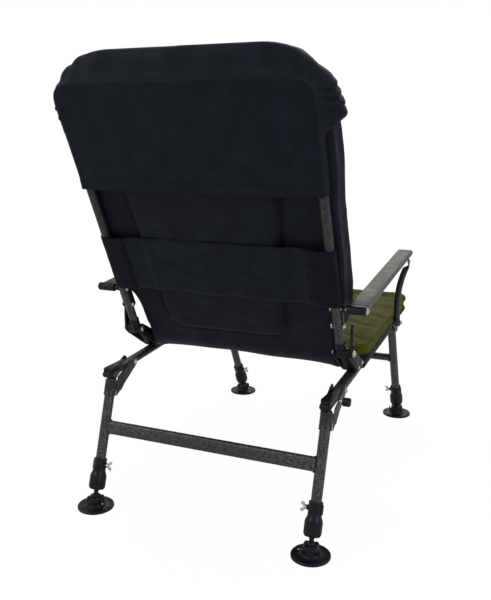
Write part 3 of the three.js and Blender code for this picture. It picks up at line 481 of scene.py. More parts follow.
def oval_ring(bm, width, height, sides, at):
    """A ring of edges: a circle, or a stadium when width and height differ."""
    radius = min(width, height) / 2
    ring = bmesh.ops.create_circle(bm, cap_ends=False, radius=radius, segments=sides)["verts"]
    bmesh.ops.rotate(bm, verts=ring, cent=(0, 0, 0), matrix=Matrix.Rotation(math.pi / sides, 3, "Z"))
    for vert in ring:
        vert.co.x += math.copysign(max(0, width / 2 - radius), vert.co.x)
        vert.co.y += math.copysign(max(0, height / 2 - radius), vert.co.y)
    bmesh.ops.transform(bm, matrix=at, verts=ring)
    return list({edge for vert in ring for edge in vert.link_edges})


def advance(bm, edges, move, scale=None, centre=0.0):
    """Extrudes a ring of edges, moves the new ring, scales it about the given x and gives its edges."""
    new = bmesh.ops.extrude_edge_only(bm, edges=edges)["geom"]
    verts = verts_of(new)
    bmesh.ops.translate(bm, vec=move, verts=verts)
    if scale:
        bmesh.ops.scale(bm, vec=scale, verts=verts, space=Matrix.Translation((-centre, 0, 0)))
    return edges_of(new)


def sweep(bm, edges, moves):
    """Carries a ring of edges through straight runs and bends, and gives the last ring."""
    for move in moves:
        if len(move) == 3:
            edges = advance(bm, edges, move)
        else:
            centre, axis, angle, steps = move
            ring = edges + list({vert for edge in edges for vert in edge.verts})
            new = bmesh.ops.spin(bm, geom=ring, cent=centre, axis=axis, angle=angle, steps=steps)["geom_last"]
            edges = edges_of(new)
    return edges


def close_ends(bm):
    rims = [edge for edge in bm.edges if edge.is_boundary]
    bmesh.ops.holes_fill(bm, edges=rims, sides=0)


def weld_bead(bm, width, height, at, thick=0.0022, sides=40, index=0):
    """A lumpy bead of weld round the end of a bar."""
    edges = oval_ring(bm, width, height, sides, at)
    ring = list({vert for edge in edges for vert in edge.verts})
    normal = (at.to_3x3() @ Vector((0, 0, 1))).normalized()
    centre = at.translation
    rows = []
    for turn_step in range(6):
        angle = turn_step * math.pi / 3
        rows.append([])
        for vert in ring:
            out = (vert.co - centre).normalized()
            lump = thick * (1 + 0.25 * math.sin(vert.co.dot(Vector((900, 1300, 1100)))))
            rows[-1].append(bm.verts.new(vert.co + out * lump * math.cos(angle) + normal * lump * math.sin(angle)))
    pairs = [(ring.index(edge.verts[0]), ring.index(edge.verts[1])) for edge in edges]
    for row, after in zip(rows, rows[1:] + rows[:1]):
        for first, second in pairs:
            face = bm.faces.new((row[first], row[second], after[second], after[first]))
            face.material_index = index
    bmesh.ops.delete(bm, geom=ring, context="VERTS")


# Tubes of the seat and the back: each frame is one bent tube

def seat_frame_tube():
    bm = bmesh.new()
    ring = oval_ring(bm, 0.025, 0.014, 32, along_y(TRACK, 0, 0))
    bend = TRACK - 0.055
    sweep(bm, ring, [(0, -0.33, 0), (0, -0.3308, 0),
                     ((bend, -0.6608, 0), (0, 0, -1), math.pi / 2, 10), (-2 * bend, 0, 0),
                     ((-bend, -0.6608, 0), (0, 0, -1), math.pi / 2, 10), (0, 0.3308, 0), (0, 0.33, 0)])
    close_ends(bm)
    made = finish_mesh(bm, "seat_tube", [hammered_grey], "seat_frame", SEAT, 50)
    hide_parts("seat_side_tube_L", "seat_side_tube_R", "seat_front_bow")


def back_frame_tube():
    bm = bmesh.new()
    ring = oval_ring(bm, 0.019, 0.019, 36, Matrix.Translation((UPRIGHT, 0, 0)))
    half_rise = BEND_RISE / 2
    sweep(bm, ring, [(0, 0, half_rise), (0, 0, half_rise),
                     ((BEND_X, 0, BEND_RISE), (0, -1, 0), math.pi / 2, 10), (-2 * BEND_X, 0, 0),
                     ((-BEND_X, 0, BEND_RISE), (0, -1, 0), math.pi / 2, 10), (0, 0, -half_rise), (0, 0, -half_rise)])
    close_ends(bm)
    made = finish_mesh(bm, "back_tube", [hammered_grey], "back_frame", BACK, 50)
    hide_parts("upright_L", "upright_R", "back_top_bow")


# Black end of the seat tube, with the tongue that springs along its top
def tube_end():
    bm = bmesh.new()
    edges = oval_ring(bm, 0.0206, 0.0096, 32, along_y(TRACK, -0.012, 0))
    for width, height, move in ((1, 1, 0.0123), (1.24, 1.5, 0.0001), (1.0, 1.0, 0.002), (0.97, 0.94, 0.0025),
                                (0.90, 0.82, 0.0022), (0.72, 0.6, 0.0016), (0.45, 0.35, 0.0006)):
        edges = advance(bm, edges, (0, move, 0), (width, 1, height), TRACK)
    close_ends(bm)
    heel = bmesh.new()
    block(heel, (TRACK - 0.0100, 0.0006, 0.001), (TRACK + 0.0100, 0.0040, 0.0140), 0.0012)
    tongue = bmesh.new()
    for x, y, radius in ((0.006, -0.002, 0.0048), (-0.006, -0.002, 0.0048), (0, -0.0575, 0.0042)):
        for z in (0.0116, 0.0142):
            bmesh.ops.create_circle(tongue, cap_ends=False, radius=radius, segments=24,
                                    matrix=Matrix.Translation((TRACK + x, y, z)))
    hull_plate(tongue, 0.0007)
    adopt(bm, heel)
    adopt(bm, tongue)
    pair(bm, "tube_end", [black_plastic], "seat_frame", SEAT, 40, ["seat_tube_cap"])


# Recline hinge: two ears joined by a block beside the seat tube, the hinge bolt and the lever
def recline_hinge():
    inner, outer = 0.2337, 0.2628
    ear = 0.003
    ahead, behind = HINGE_Y - 0.118, HINGE_Y - 0.068
    bm = bmesh.new()
    feet = [(ahead, 0.0115, 0.003), (behind, 0.0115, 0.003)]
    lobes(bm, [(HINGE_Y, HINGE_Z, 0.0125), *feet], inner - ear, inner)
    lobes(bm, [(HINGE_Y, HINGE_Z, 0.0125), *feet], outer, outer + ear)
    raised = (HINGE_Y - 0.030, HINGE_Z - 0.022, 0.003)
    lobes(bm, [(ahead, 0.0106, 0.003), (behind, 0.0106, 0.003), raised], inner - 0.0004, outer + 0.0004)
    ridge = [(HINGE_Y - 0.020, HINGE_Z * 0.79, 0.0038), (HINGE_Y - 0.070, HINGE_Z * 0.26, 0.0038)]
    lobes(bm, ridge, outer + ear - 0.0012, outer + ear + 0.0012, 0.0007)
    lobes(bm, ridge, inner - ear - 0.0012, inner - ear + 0.0012, 0.0007)
    for y, z in ((ahead + 0.014, 0.0152), (behind - 0.004, 0.0156)):
        bolt_head(bm, 0.0036, 0.0022, outer + ear, y, z, 1, 1)
        bolt_head(bm, 0.0036, 0.0022, inner - ear, y, z, -1, 1)
    rod(bm, 0.004, inner - ear, outer + 0.0095, HINGE_Y, HINGE_Z, index=1)
    bolt_head(bm, 0.0058, 0.0040, inner - ear, HINGE_Y, HINGE_Z, -1, 1)
    hex_nut(bm, 0.0056, 0.0042, outer + 0.0088, HINGE_Y, HINGE_Z, 1, 1)
    pair(bm, "recline_bracket", [black_coated, bright_steel], "seat_frame", SEAT, 40, ["hinge_base"])

    lever = bmesh.new()
    lean = math.radians(-2.5)
    root = outer + ear + 0.0003

    def spot(reach, swing):
        return (HINGE_Y - reach * math.sin(lean + swing), HINGE_Z + reach * math.cos(lean + swing))

    bends = [(0.0, 0.0, 0.0092), (0.016, -0.05, 0.0080), (0.032, -0.05, 0.0062), (0.047, -0.02, 0.0046),
             (0.060, 0.03, 0.0030)]
    for first, second in zip(bends, bends[1:]):
        lobes(lever, [(*spot(first[0], first[1]), first[2]), (*spot(second[0], second[1]), second[2])],
              root, root + 0.005, 0.0009, segments=24)
    rib = [(*spot(0.020, -0.04), 0.0028), (*spot(0.048, 0.0), 0.0016)]
    lobes(lever, rib, root + 0.0045, root + 0.0060, 0.0005)
    pair(lever, "recline_lever_grip", [black_plastic], "lever_{side}", SEAT, 40, ["recline_lever"])


# Boot on the upright's foot, which turns on the hinge bolt
def hinge_boot():
    bm = bmesh.new()
    profile = [(0, -0.0386)]
    for step in range(1, 9):
        angle = step / 8 * math.pi / 2
        profile.append((0.0110 * math.sin(angle), -0.0276 - 0.0110 * math.cos(angle)))
    profile += [(0.0110, -0.0045), (0.0116, -0.0040), (0.0116, -0.0012), (0.0110, -0.0004), (0.0098, -0.0003)]
    turned(bm, profile, Matrix.Translation((UPRIGHT, 0, 0)), 36)
    rod(bm, 0.0107, UPRIGHT, 0.2625, 0, -0.0276, 36, 0.0008)
    rod(bm, 0.0080, UPRIGHT - 0.0112, UPRIGHT, 0, -0.0276, 32, 0.0006)
    bolt_head(bm, 0.0028, 0.0014, UPRIGHT + 0.0108, 0, -0.012)
    pair(bm, "hinge_boot", [black_plastic], "back_frame", BACK, 40, ["hinge_sleeve"])


# Armrest bracket: a thin channel in front of the upright, its lower bolt and the long pivot bolt
def arm_bracket():
    bm = bmesh.new()
    outside = UPRIGHT + 0.0098
    inside = UPRIGHT - 0.0098
    lower, pivot, bolt_end = 0.044, 0.088, 0.3073
    for from_x, to_x in ((outside, outside + 0.002), (inside - 0.0016, inside)):
        lobes(bm, [(-0.0032, lower, 0.006), (-0.0032, 0.0835, 0.006)], from_x, to_x, 0.0005)
    block(bm, (inside - 0.0016, -0.0114, 0.038), (outside + 0.002, -0.0096, 0.0895), 0.0006)
    rod(bm, 0.003, inside, outside, 0, lower, index=1)
    bolt_head(bm, 0.0052, 0.0036, inside - 0.0016, 0, lower, -1, 1)
    hex_nut(bm, 0.0050, 0.0034, outside + 0.002, 0, lower, 1, 1)
    pair(bm, "arm_bracket", [black_coated, bright_steel], "back_frame", BACK, 40, ["arm_strap"])

    bolt = bmesh.new()
    rod(bolt, 0.003, inside, bolt_end, 0, pivot)
    bolt_head(bolt, 0.0055, 0.0036, inside - 0.0002, 0, pivot, -1)
    turned(bolt, [(0.0032, 0), (0.0060, 0), (0.0060, 0.0060), (0.0032, 0.0060)],
           along_x(outside + 0.0025, 0, pivot), 28, True, 1)
    hex_nut(bolt, 0.0052, 0.0034, bolt_end, 0, pivot)
    pair(bolt, "arm_pivot_bolt", [bright_steel, black_coated], "back_frame", BACK, 40, ["arm_bolt"])


# Armrest: an extruded oval pad with a rounded nose and a black barrel at its pivot
def armrest():
    bm = bmesh.new()
    start = -0.0153
    front = -0.4897
    edges = oval_ring(bm, 0.040, 0.014, 40, along_y(ARM_X, start, 0))
    run = (start - front - 0.012) / 6
    steps = [(1, 1, run)] * 6
    steps += [(0.985, 0.97, 0.004), (0.965, 0.90, 0.0035), (0.955, 0.80, 0.0024), (0.94, 0.62, 0.0014),
              (0.90, 0.38, 0.0007)]
    for width, height, move in steps:
        edges = advance(bm, edges, (0, -move, 0), (width, 1, height), ARM_X)
    close_ends(bm)
    round_edges(bm, sharp_edges(bm, 1.2), 0.0006)
    pair(bm, "arm_pad", [armrest_grey], "armrest_{side}", ARM, 40, ["armrest"])

    cap = bmesh.new()
    turned(cap, [(0, 0), (0.0076, 0), (0.0088, 0.0006), (0.0090, 0.0018), (0.0090, 0.0382), (0.0088, 0.0394),
                 (0.0076, 0.0400), (0, 0.0400)], along_x(0.267, 0, 0), 36)
    block(cap, (0.2682, -0.0150, -0.0066), (0.3058, -0.0010, 0.0066), 0.0030, segments=3)
    for x in (0.2775, 0.2965):
        block(cap, (x - 0.0006, -0.0148, -0.0072), (x + 0.0006, -0.0060, 0.0072), 0.0004)
    pair(cap, "arm_barrel", [black_plastic], "armrest_{side}", ARM, 40, ["armrest_cap"])


def arm_strut():
    top = math.hypot(0.088, 0.177)
    tube_top = top - 0.022
    foot_x, tab_x = STRUT_X, 0.3088
    bm = bmesh.new()
    edges = oval_ring(bm, 0.016, 0.016, 32, Matrix.Translation((foot_x, 0, -0.0085)))
    shift = tab_x - 0.008 - foot_x
    last = (foot_x, -0.0085)
    count = 18
    for step in range(1, count + 1):
        share = step / count
        spot = (foot_x + shift * share ** 2.6, -0.0085 + (tube_top + 0.0085) * share)
        edges = advance(bm, edges, (spot[0] - last[0], 0, spot[1] - last[1]))
        last = spot
    for x, z, thick, wide in ((tab_x - 0.0050, tube_top + 0.0030, 0.72, 1.0), (tab_x, tube_top + 0.0068, 0.26, 1.0),
                              (tab_x, top, 1.0, 0.92), (tab_x, top + 0.0038, 1.0, 0.80),
                              (tab_x, top + 0.0058, 1.0, 0.45)):
        edges = advance(bm, edges, (x - last[0], 0, z - last[1]), (thick, wide, 1), x)
        last = (x, z)
    close_ends(bm)
    for face in bm.faces:
        face.material_index = 0 if face.calc_center_median().z < tube_top + 0.004 else 1
    bolt_head(bm, 0.0052, 0.0036, tab_x + 0.0014, 0, top, 1, 2)
    rod(bm, 0.0045, tab_x - 0.0020, tab_x, 0, top, index=2)
    pair(bm, "arm_strut_tube", [dark_tube, black_coated, bright_steel], "strut_{side}", STRUT, 40,
         ["arm_strut"])


# Saddle under the seat tube that holds the front leg and the strut's foot
def front_saddle():
    leg_y, leg_z = seat_local(*FRONT_BOLT)
    foot_y, foot_z = seat_local(*STRUT_FOOT)
    top = -0.0073
    inner = TRACK - 0.0116
    outer = TRACK + 0.0128
    bm = bmesh.new()
    nose = (leg_y, leg_z, 0.0085)
    corners = [(leg_y - 0.013, top - 0.001, 0.001), (leg_y + 0.013, top - 0.001, 0.001)]
    lobes(bm, [nose, *corners], inner - 0.002, inner, 0.0005)
    lobes(bm, [nose, corners[0], (foot_y, foot_z, 0.008)], outer, outer + 0.002, 0.0005)
    block(bm, (inner - 0.002, leg_y - 0.013, top - 0.002), (outer + 0.002, leg_y + 0.013, top), 0.0006)
    rod(bm, 0.003, inner - 0.002, outer + 0.002, leg_y, leg_z, index=1)
    bolt_head(bm, 0.0050, 0.0030, inner - 0.002, leg_y, leg_z, -1, 1)
    bolt_head(bm, 0.0050, 0.0030, outer + 0.002, leg_y, leg_z, 1, 1)
    end = STRUT_X + 0.0086
    rod(bm, 0.003, outer, end, foot_y, foot_z, index=1)
    hex_nut(bm, 0.0052, 0.0034, end, foot_y, foot_z, 1, 1)
    pair(bm, "leg_saddle", [hammered_grey, bright_steel], "seat_frame", SEAT, 40, ["front_leg_saddle"])


def bracket_bolt():
    y, z = seat_local(*REAR_BOLT)
    reach = 0.0151
    bm = bmesh.new()
    rod(bm, 0.003, TRACK - reach, TRACK + reach, y, z)
    bolt_head(bm, 0.0052, 0.0036, TRACK - reach, y, z, -1)
    hex_nut(bm, 0.0052, 0.0036, TRACK + reach, y, z)
    pair(bm, "bracket_bolt", [bright_steel], "seat_frame", SEAT, 40, ["rear_bracket_bolt"])


# Legs: their frame's origin is the ball of the foot and the tube runs up +Z

def outer_leg(end, at, top, pivot=None):
    bm = bmesh.new()
    turned(bm, [(0.0097, 0.0523), (0.0107, 0.0523), (0.0110, 0.0526), (0.0110, top - 0.0003), (0.0107, top),
                (0.0097, top)], LEG_AXIS, 40, True)
    if pivot:
        bolt_head(bm, 0.0042, 0.0012, TRACK - 0.0107, 0, pivot, -1, 1)
    else:
        turned(bm, [(0, top + 0.0045), (0.005, top + 0.0042), (0.0085, top + 0.0030), (0.0102, top + 0.0010),
                    (0.0106, top - 0.0002), (0.0094, top - 0.0002), (0.0094, top - 0.008), (0, top - 0.008)],
               LEG_AXIS, 36, index=1)
    pair(bm, f"{end}_leg_tube", [hammered_grey, black_plastic], f"{end}_legs", at, 40, [f"{end}_leg"])


def leg_collar(end, at):
    bm = bmesh.new()
    turned(bm, [(0.0094, 0.0170), (0.0150, 0.0170), (0.0162, 0.0180), (0.0166, 0.0200), (0.0175, 0.0206),
                (0.0175, 0.0300), (0.0171, 0.0304), (0.0171, 0.0318), (0.0175, 0.0322), (0.0175, 0.0478),
                (0.0170, 0.0496), (0.0150, 0.0545), (0.0141, 0.0570), (0.0141, 0.0810), (0.0145, 0.0815),
                (0.0145, 0.0840), (0.0141, 0.0850), (0.0114, 0.0850), (0.0114, 0.0520), (0.0094, 0.0520)],
           LEG_AXIS, 44, True)
    for angle in range(0, 360, 45):
        turn = LEG_AXIS @ Matrix.Rotation(math.radians(angle + 22.5), 4, "Z")
        rib = bmesh.new()
        block(rib, (0.0160, -0.0013, 0.0215), (0.0182, 0.0013, 0.0470), 0.0006)
        bmesh.ops.transform(rib, matrix=turn, verts=rib.verts)
        adopt(bm, rib)
    rise = 0.071
    turned(bm, [(0.0030, 0), (0.0056, 0), (0.0056, 0.0030), (0.0050, 0.0036), (0.0030, 0.0036)],
           along_x(TRACK - 0.0166, 0, rise), 28, True)
    block(bm, (TRACK + 0.0125, -0.0048, 0.0600), (TRACK + 0.0156, 0.0048, 0.0800), 0.0012)
    pair(bm, f"{end}_collar_shell", [black_plastic], f"{end}_legs", at, 40, [f"{end}_collar"])

    wing = bmesh.new()
    root = TRACK - 0.0178
    rod(wing, 0.0025, root - 0.001, TRACK - 0.0113, 0, rise)
    rod(wing, 0.0046, root - 0.0042, root, 0, rise, round_ends=0.0008)
    for way in (-1, 1):
        ear = bmesh.new()
        for x, z, radius in ((-0.0020, 0, 0.0020), (-0.0090, way * 0.0064, 0.0038)):
            for y in (-0.0011, 0.0011):
                bmesh.ops.create_circle(ear, cap_ends=False, radius=radius, segments=24,
                                        matrix=along_y(root + x, y, rise + z))
        hull_plate(ear, 0.0006)
        adopt(wing, ear)
    pair(wing, f"{end}_wing", [bright_steel], f"{end}_wing_{{side}}", at, 40, [f"{end}_wing_screw"])


def inner_leg(end, at):
    bm = bmesh.new()
    profile = [(0, -0.009)]
    for step in range(1, 11):
        angle = step / 10 * (math.pi - math.asin(5 / 9))
        profile.append((0.009 * math.sin(angle), -0.009 * math.cos(angle)))
    profile += [(0.0050, 0.0125), (0.0062, 0.0150), (0.0084, 0.0172), (0.0089, 0.0188), (0.0089, 0.0240)]
    turned(bm, profile, LEG_AXIS, 36, index=1)
    turned(bm, [(0.0089, 0.0240), (0.0090, 0.0243), (0.0090, 0.1897), (0.0087, 0.1900), (0.0075, 0.1900),
                (0.0075, 0.0300)], LEG_AXIS, 36)
    for height in (0.060, 0.085, 0.110, 0.135, 0.160):
        bolt_head(bm, 0.0022, 0.0002, TRACK - 0.00885, 0, height, -1, 1)
    pair(bm, f"{end}_inner_tube", [inner_steel, black_plastic], f"{end}_inner_{{side}}", at, 40,
         [f"{end}_inner_leg"])


def mud_foot(end, at):
    bm = bmesh.new()
    profile = [(0, 0), (0.012, 0), (0.0125, 0.0010), (0.0165, 0.0010), (0.0170, 0), (0.0280, 0),
               (0.0285, 0.0010), (0.0325, 0.0010), (0.0330, 0), (0.0388, 0), (0.0398, 0.0008), (0.0400, 0.0022),
               (0.0398, 0.0050), (0.0388, 0.0060), (0.0378, 0.0059), (0.0368, 0.0047), (0.0300, 0.0046),
               (0.0250, 0.0050), (0.0205, 0.0066), (0.0188, 0.0088), (0.0186, 0.0130), (0.0178, 0.0165),
               (0.0158, 0.0205), (0.0140, 0.0245), (0.0128, 0.0270), (0.0108, 0.0272)]
    for step in range(0, 9):
        angle = math.radians(10) - step / 8 * math.radians(100)
        profile.append((max(0.0, 0.0093 * math.cos(angle)), 0.025 + 0.0093 * math.sin(angle)))
    profile[-1] = (0, profile[-1][1])
    turned(bm, profile, LEG_AXIS, 56)
    for angle in (35, 125, 215, 305):
        lug = bmesh.new()
        bmesh.ops.create_uvsphere(lug, u_segments=20, v_segments=12, radius=1)
        turn = (LEG_AXIS @ Matrix.Rotation(math.radians(angle), 4, "Z") @ Matrix.Translation((0.0150, 0, 0.0185))
                @ Matrix.Diagonal((0.0048, 0.0068, 0.0088, 1)))
        bmesh.ops.transform(lug, matrix=turn, verts=lug.verts)
        adopt(bm, lug)
    for angle in range(0, 360, 60):
        turn = LEG_AXIS @ Matrix.Rotation(math.radians(angle), 4, "Z")
        rib = bmesh.new()
        block(rib, (0.0180, -0.0008, 0.0038), (0.0375, 0.0008, 0.0054), 0.0004)
        bmesh.ops.transform(rib, matrix=turn, verts=rib.verts)
        adopt(bm, rib)
    pin = LEG_AXIS @ Matrix.Rotation(math.radians(-20), 4, "Z")
    turned(bm, [(0, 0), (0.0016, 0.0002), (0.0018, 0.0010), (0.0018, 0.0070), (0.0010, 0.0078), (0, 0.0078)],
           pin @ along_x(-0.0262, 0, 0.0150), 20, index=1)
    tab = bmesh.new()
    lobes(tab, [(0, 0.0150, 0.0034), (0, 0.0225, 0.0026)], -0.0225, -0.0205, 0.0005)
    bmesh.ops.transform(tab, matrix=pin, verts=tab.verts)
    adopt(bm, tab)
    pair(bm, f"{end}_mud_foot", [black_plastic, bright_steel], f"{end}_foot_{{side}}", at, 40,
         [f"{end}_foot"])


# Rear bracket: a sleeve on the leg's top and two cheeks that reach forward to their bolt
def rear_bracket():
    spot = REAR_LEGS.inverted() @ Vector((0, *REAR_BOLT))
    knob = REAR_LEGS.inverted() @ Vector((0, *KNOB_PIN))
    bm = bmesh.new()
    turned(bm, [(0.0114, 0.2250), (0.0128, 0.2250), (0.0137, 0.2256), (0.0138, 0.2272), (0.0133, 0.2282),
                (0.0133, 0.2568), (0.0138, 0.2578), (0.0137, 0.2594), (0.0128, 0.2600), (0.0114, 0.2600)],
           LEG_AXIS, 44, True)
    plate = [(spot.y, spot.z, 0.011), (-0.007, 0.2275, 0.0015), (-0.004, 0.258, 0.002), (-0.004, 0.268, 0.002)]
    slot_from = Vector((spot.y * 0.46, 0.2585))
    slot_to = Vector((spot.y * 0.30, 0.2420))
    for from_x, to_x, way in ((TRACK - 0.0148, TRACK - 0.0128, -1), (TRACK + 0.0128, TRACK + 0.0148, 1)):
        lobes(bm, plate, from_x, to_x, 0.0006)
        face = to_x if way > 0 else from_x
        lobes(bm, [(slot_from.x, slot_from.y, 0.0038), (slot_to.x, slot_to.y, 0.0038)],
              face - 0.0008, face + 0.0008, 0.0006)
        bolt_head(bm, 0.0075, 0.0008, face, spot.y, spot.z, way)
    rod(bm, 0.0044, TRACK + 0.0140, TRACK + 0.0152, knob.y, knob.z)
    pair(bm, "leg_bracket", [hammered_grey, bright_steel], "rear_legs", REAR_LEGS, 40, ["rear_leg_bracket"])


def pull_knob():
    spot = REAR_LEGS.inverted() @ Vector((0, *KNOB_PIN))
    bm = bmesh.new()
    root = TRACK + 0.0148
    rod(bm, 0.0030, root - 0.002, root + 0.009, spot.y, spot.z, index=1)
    rod(bm, 0.0050, root + 0.0003, root + 0.0090, spot.y, spot.z, round_ends=0.0008, index=1)
    ring = bmesh.ops.create_circle(bm, cap_ends=True, radius=0.0072, segments=48)["verts"]
    for index, vert in enumerate(ring):
        vert.co *= 1 - 0.05 * (index % 4 < 2)
    turn = along_x(root + 0.008, spot.y, spot.z)
    bmesh.ops.transform(bm, matrix=turn, verts=ring)
    face = ring[0].link_faces[0]
    for grow, move in ((1.20, 0.0012), (1.04, 0.0012), (1, 0.0105), (0.96, 0.0020), (0.86, 0.0010)):
        new = bmesh.ops.extrude_face_region(bm, geom=[face])["geom"]
        verts = verts_of(new)
        bmesh.ops.translate(bm, vec=(move, 0, 0), verts=verts)
        bmesh.ops.scale(bm, vec=(1, grow, grow), verts=verts, space=Matrix.Translation((0, -spot.y, -spot.z)))
        face = faces_of(new)[0]
    turned(bm, [(0, 0), (0.0042, 0), (0.0046, -0.0006), (0.0046, -0.002)],
           along_x(root + 0.0243, spot.y, spot.z), 24)
    made = finish_mesh(flipped(bm), "pull_knob", [black_plastic, bright_steel], "lock_knob", REAR_LEGS, 30)
    bm.free()
    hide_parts("lock_knob")


def crossbars():
    half = TRACK - 0.0113
    turn = Matrix.Rotation(math.radians(90), 4, "Y")
    rear_rise = (0.173 - FOOT_BALL) / math.cos(math.radians(REAR_LEAN))
    front_rise = (0.202 - FOOT_BALL) / math.cos(math.radians(FRONT_LEAN))
    for end, frame_at, width, height, rise in (("rear", REAR_LEGS, 0.030, 0.015, rear_rise),
                                               ("front", FRONT_LEGS, 0.020, 0.020, front_rise)):
        bm = bmesh.new()
        at = Matrix.Translation((-half, 0, rise)) @ turn
        ring = oval_ring(bm, width, height, 32, at)
        sweep(bm, ring, [(half, 0, 0), (half, 0, 0)])
        close_ends(bm)
        for x in (-half + 0.0006, half - 0.0006):
            weld_bead(bm, width, height, Matrix.Translation((x, 0, rise)) @ turn)
        made = finish_mesh(bm, f"{end}_bar", [hammered_grey], f"{end}_legs", frame_at, 50)
        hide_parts(f"{end}_crossbar")


seat_frame_tube()
back_frame_tube()
tube_end()
recline_hinge()
hinge_boot()
arm_bracket()
armrest()
arm_strut()
front_saddle()
bracket_bolt()
for end, at, top, pivot in (("rear", REAR_LEGS, 0.262, None), ("front", FRONT_LEGS, 0.3237, 0.3157)):
    outer_leg(end, at, top, pivot)
    leg_collar(end, at)
    inner_leg(end, at)
mud_foot("rear", REAR_FEET)
mud_foot("front", FRONT_FEET)
rear_bracket()
pull_knob()
crossbars()


# Mattress: one padded piece that runs down the back, folds and runs over the seat.
# It is made flat, with x across, y from the top edge to the seat's front and z from rear to front.

BACK_END = 0.595
REAR_GAP = 0.0105
SEAT_LIFT = 0.0078
MIDDLE = 0.028
FOLD_RADIUS = 0.045
CHANNEL = 0.096
FIRST_SEAM = 0.034


def fold_lines():
    top = BACK @ Vector((0, -REAR_GAP - MIDDLE, BACK_END))
    down = (BACK.to_3x3() @ Vector((0, 0, -1))).normalized()
    seat_start = SEAT @ Vector((0, 0, SEAT_LIFT + MIDDLE))
    ahead = (SEAT.to_3x3() @ Vector((0, -1, 0))).normalized()
    gap = seat_start - top
    cross = down.y * ahead.z - down.z * ahead.y
    reach = (gap.y * ahead.z - gap.z * ahead.y) / cross
    corner = top + down * reach
    turn = math.acos(down.dot(ahead))
    return top, down, ahead, corner, reach, turn


TOP, DOWN, AHEAD, CORNER, CORNER_REACH, TURN = fold_lines()
TANGENT = FOLD_RADIUS * math.tan(TURN / 2)
FOLD_START = CORNER_REACH - TANGENT
FOLD_END = FOLD_START + FOLD_RADIUS * TURN
BACK_NORMAL = BACK.to_3x3() @ Vector((0, -1, 0))
SEAT_NORMAL = SEAT.to_3x3() @ Vector((0, 0, 1))
SEAT_FRONT = FOLD_END + 0.527


def folded(point):
    """Carries a point of the flat mattress to its place on the chair."""
    x, along, depth = point
    if along <= FOLD_START:
        spot, normal = TOP + DOWN * along, BACK_NORMAL
    elif along >= FOLD_END:
        spot, normal = CORNER + AHEAD * (TANGENT + along - FOLD_END), SEAT_NORMAL
    else:
        angle = (along - FOLD_START) / FOLD_RADIUS
        centre = TOP + DOWN * FOLD_START + BACK_NORMAL * FOLD_RADIUS
        normal = (Matrix.Rotation(-angle, 3, "X") @ BACK_NORMAL).normalized()
        spot = centre - normal * FOLD_RADIUS
    return Vector((x, 0, 0)) + spot + normal * (depth - MIDDLE)


def table(rows, value):
    """Reads a table of (place, size) with smooth steps between its rows."""
    for (from_place, from_size), (to_place, to_size) in zip(rows, rows[1:]):
        if value <= to_place:
            share = clamp((value - from_place) / (to_place - from_place))
            return from_size + (to_size - from_size) * share * share * (3 - 2 * share)
    return rows[-1][1]


HALF_WIDTH = [(0.0, 0.246), (0.10, 0.261), (0.20, 0.2640), (0.31, 0.2580), (0.41, 0.2590), (0.470, 0.2560),
              (0.496, 0.2530), (0.518, 0.2440), (0.540, 0.2350), (0.565, 0.2285), (0.600, 0.2250), (0.628, 0.2190),
              (0.746, 0.2190), (0.782, 0.2610), (SEAT_FRONT, 0.2635)]
THICKNESS = [(0.0, 0.048), (0.10, 0.056), (0.52, 0.058), (0.62, 0.052), (0.685, 0.039), (0.74, 0.043),
             (0.84, 0.049), (SEAT_FRONT - 0.24, 0.047), (SEAT_FRONT - 0.13, 0.036), (SEAT_FRONT - 0.05, 0.035),
             (SEAT_FRONT, 0.041)]
FRONT_FULLER = [(0.42, 0), (0.50, 1), (0.62, 1), (0.68, 0)]
DRAWN_IN = [(0.465, 0), (0.498, 0.009), (0.535, 0.019), (0.60, 0.014), (0.68, 0.008), (0.73, 0)]
TOP_CORNER = 0.102
FRONT_CORNER = 0.045
RIM, ROLL = 0.011, 0.030
FRONT_SWELL, SEAT_FLATTER, SIDE_THINNING = 0.006, 0.0035, 0.28
BACK_CHANNEL, SEAT_CHANNEL = 0.0085, 0.0045
HOLLOW_MIDDLE, HOLLOW_REACH, HOLLOW_DEPTH = 0.655, 0.062, 0.0120
TOP_FLAT, TOP_SQUEEZE = 0.032, 0.45
INNER_COLUMN, SIDE_COLUMN = 0.190, 0.280


def half_width(along, share=0.0):
    """The front of the padding keeps its width further down than the rear."""
    half = table(HALF_WIDTH, along - 0.060 * share * table(FRONT_FULLER, along))
    for reach, corner in ((along, TOP_CORNER), (SEAT_FRONT - along, FRONT_CORNER)):
        if reach < corner:
            half -= corner - math.sqrt(max(0, corner ** 2 - (corner - max(0, reach)) ** 2))
    return half


def seam_rows():
    rows = []
    seam = FIRST_SEAM
    while seam < SEAT_FRONT - 0.03:
        rows.append(seam)
        seam += CHANNEL
    return rows


SEAMS = seam_rows()


def mattress_lines():
    """Where the flat grid has its rows and columns: close together at seams and ends."""
    rows = {0.0, 0.003, 0.008, 0.015, 0.024}
    rows |= {SEAT_FRONT - place for place in rows}
    for seam in SEAMS:
        rows |= {seam + step for step in (-0.016, -0.007, 0, 0.007, 0.016)}
    ordered = sorted(rows)
    full = set(ordered)
    for first, second in zip(ordered, ordered[1:]):
        count = round((second - first) / 0.013)
        full |= {first + (second - first) * step / count for step in range(1, count)}
    columns = {0.160 + step for step in (-0.014, -0.005, 0, 0.005, 0.013, 0.019)}
    columns |= {0.012 * step + 0.002 for step in range(13)} | {0.190, 0.205, 0.220, 0.235, 0.248, 0.259, 0.268}
    columns |= {0.275, 0.280}
    columns -= {0.002}
    columns = {value for value in columns if value < 0.140 or value >= 0.146}
    return sorted(full), sorted(columns | {-value for value in columns} | {0.0})


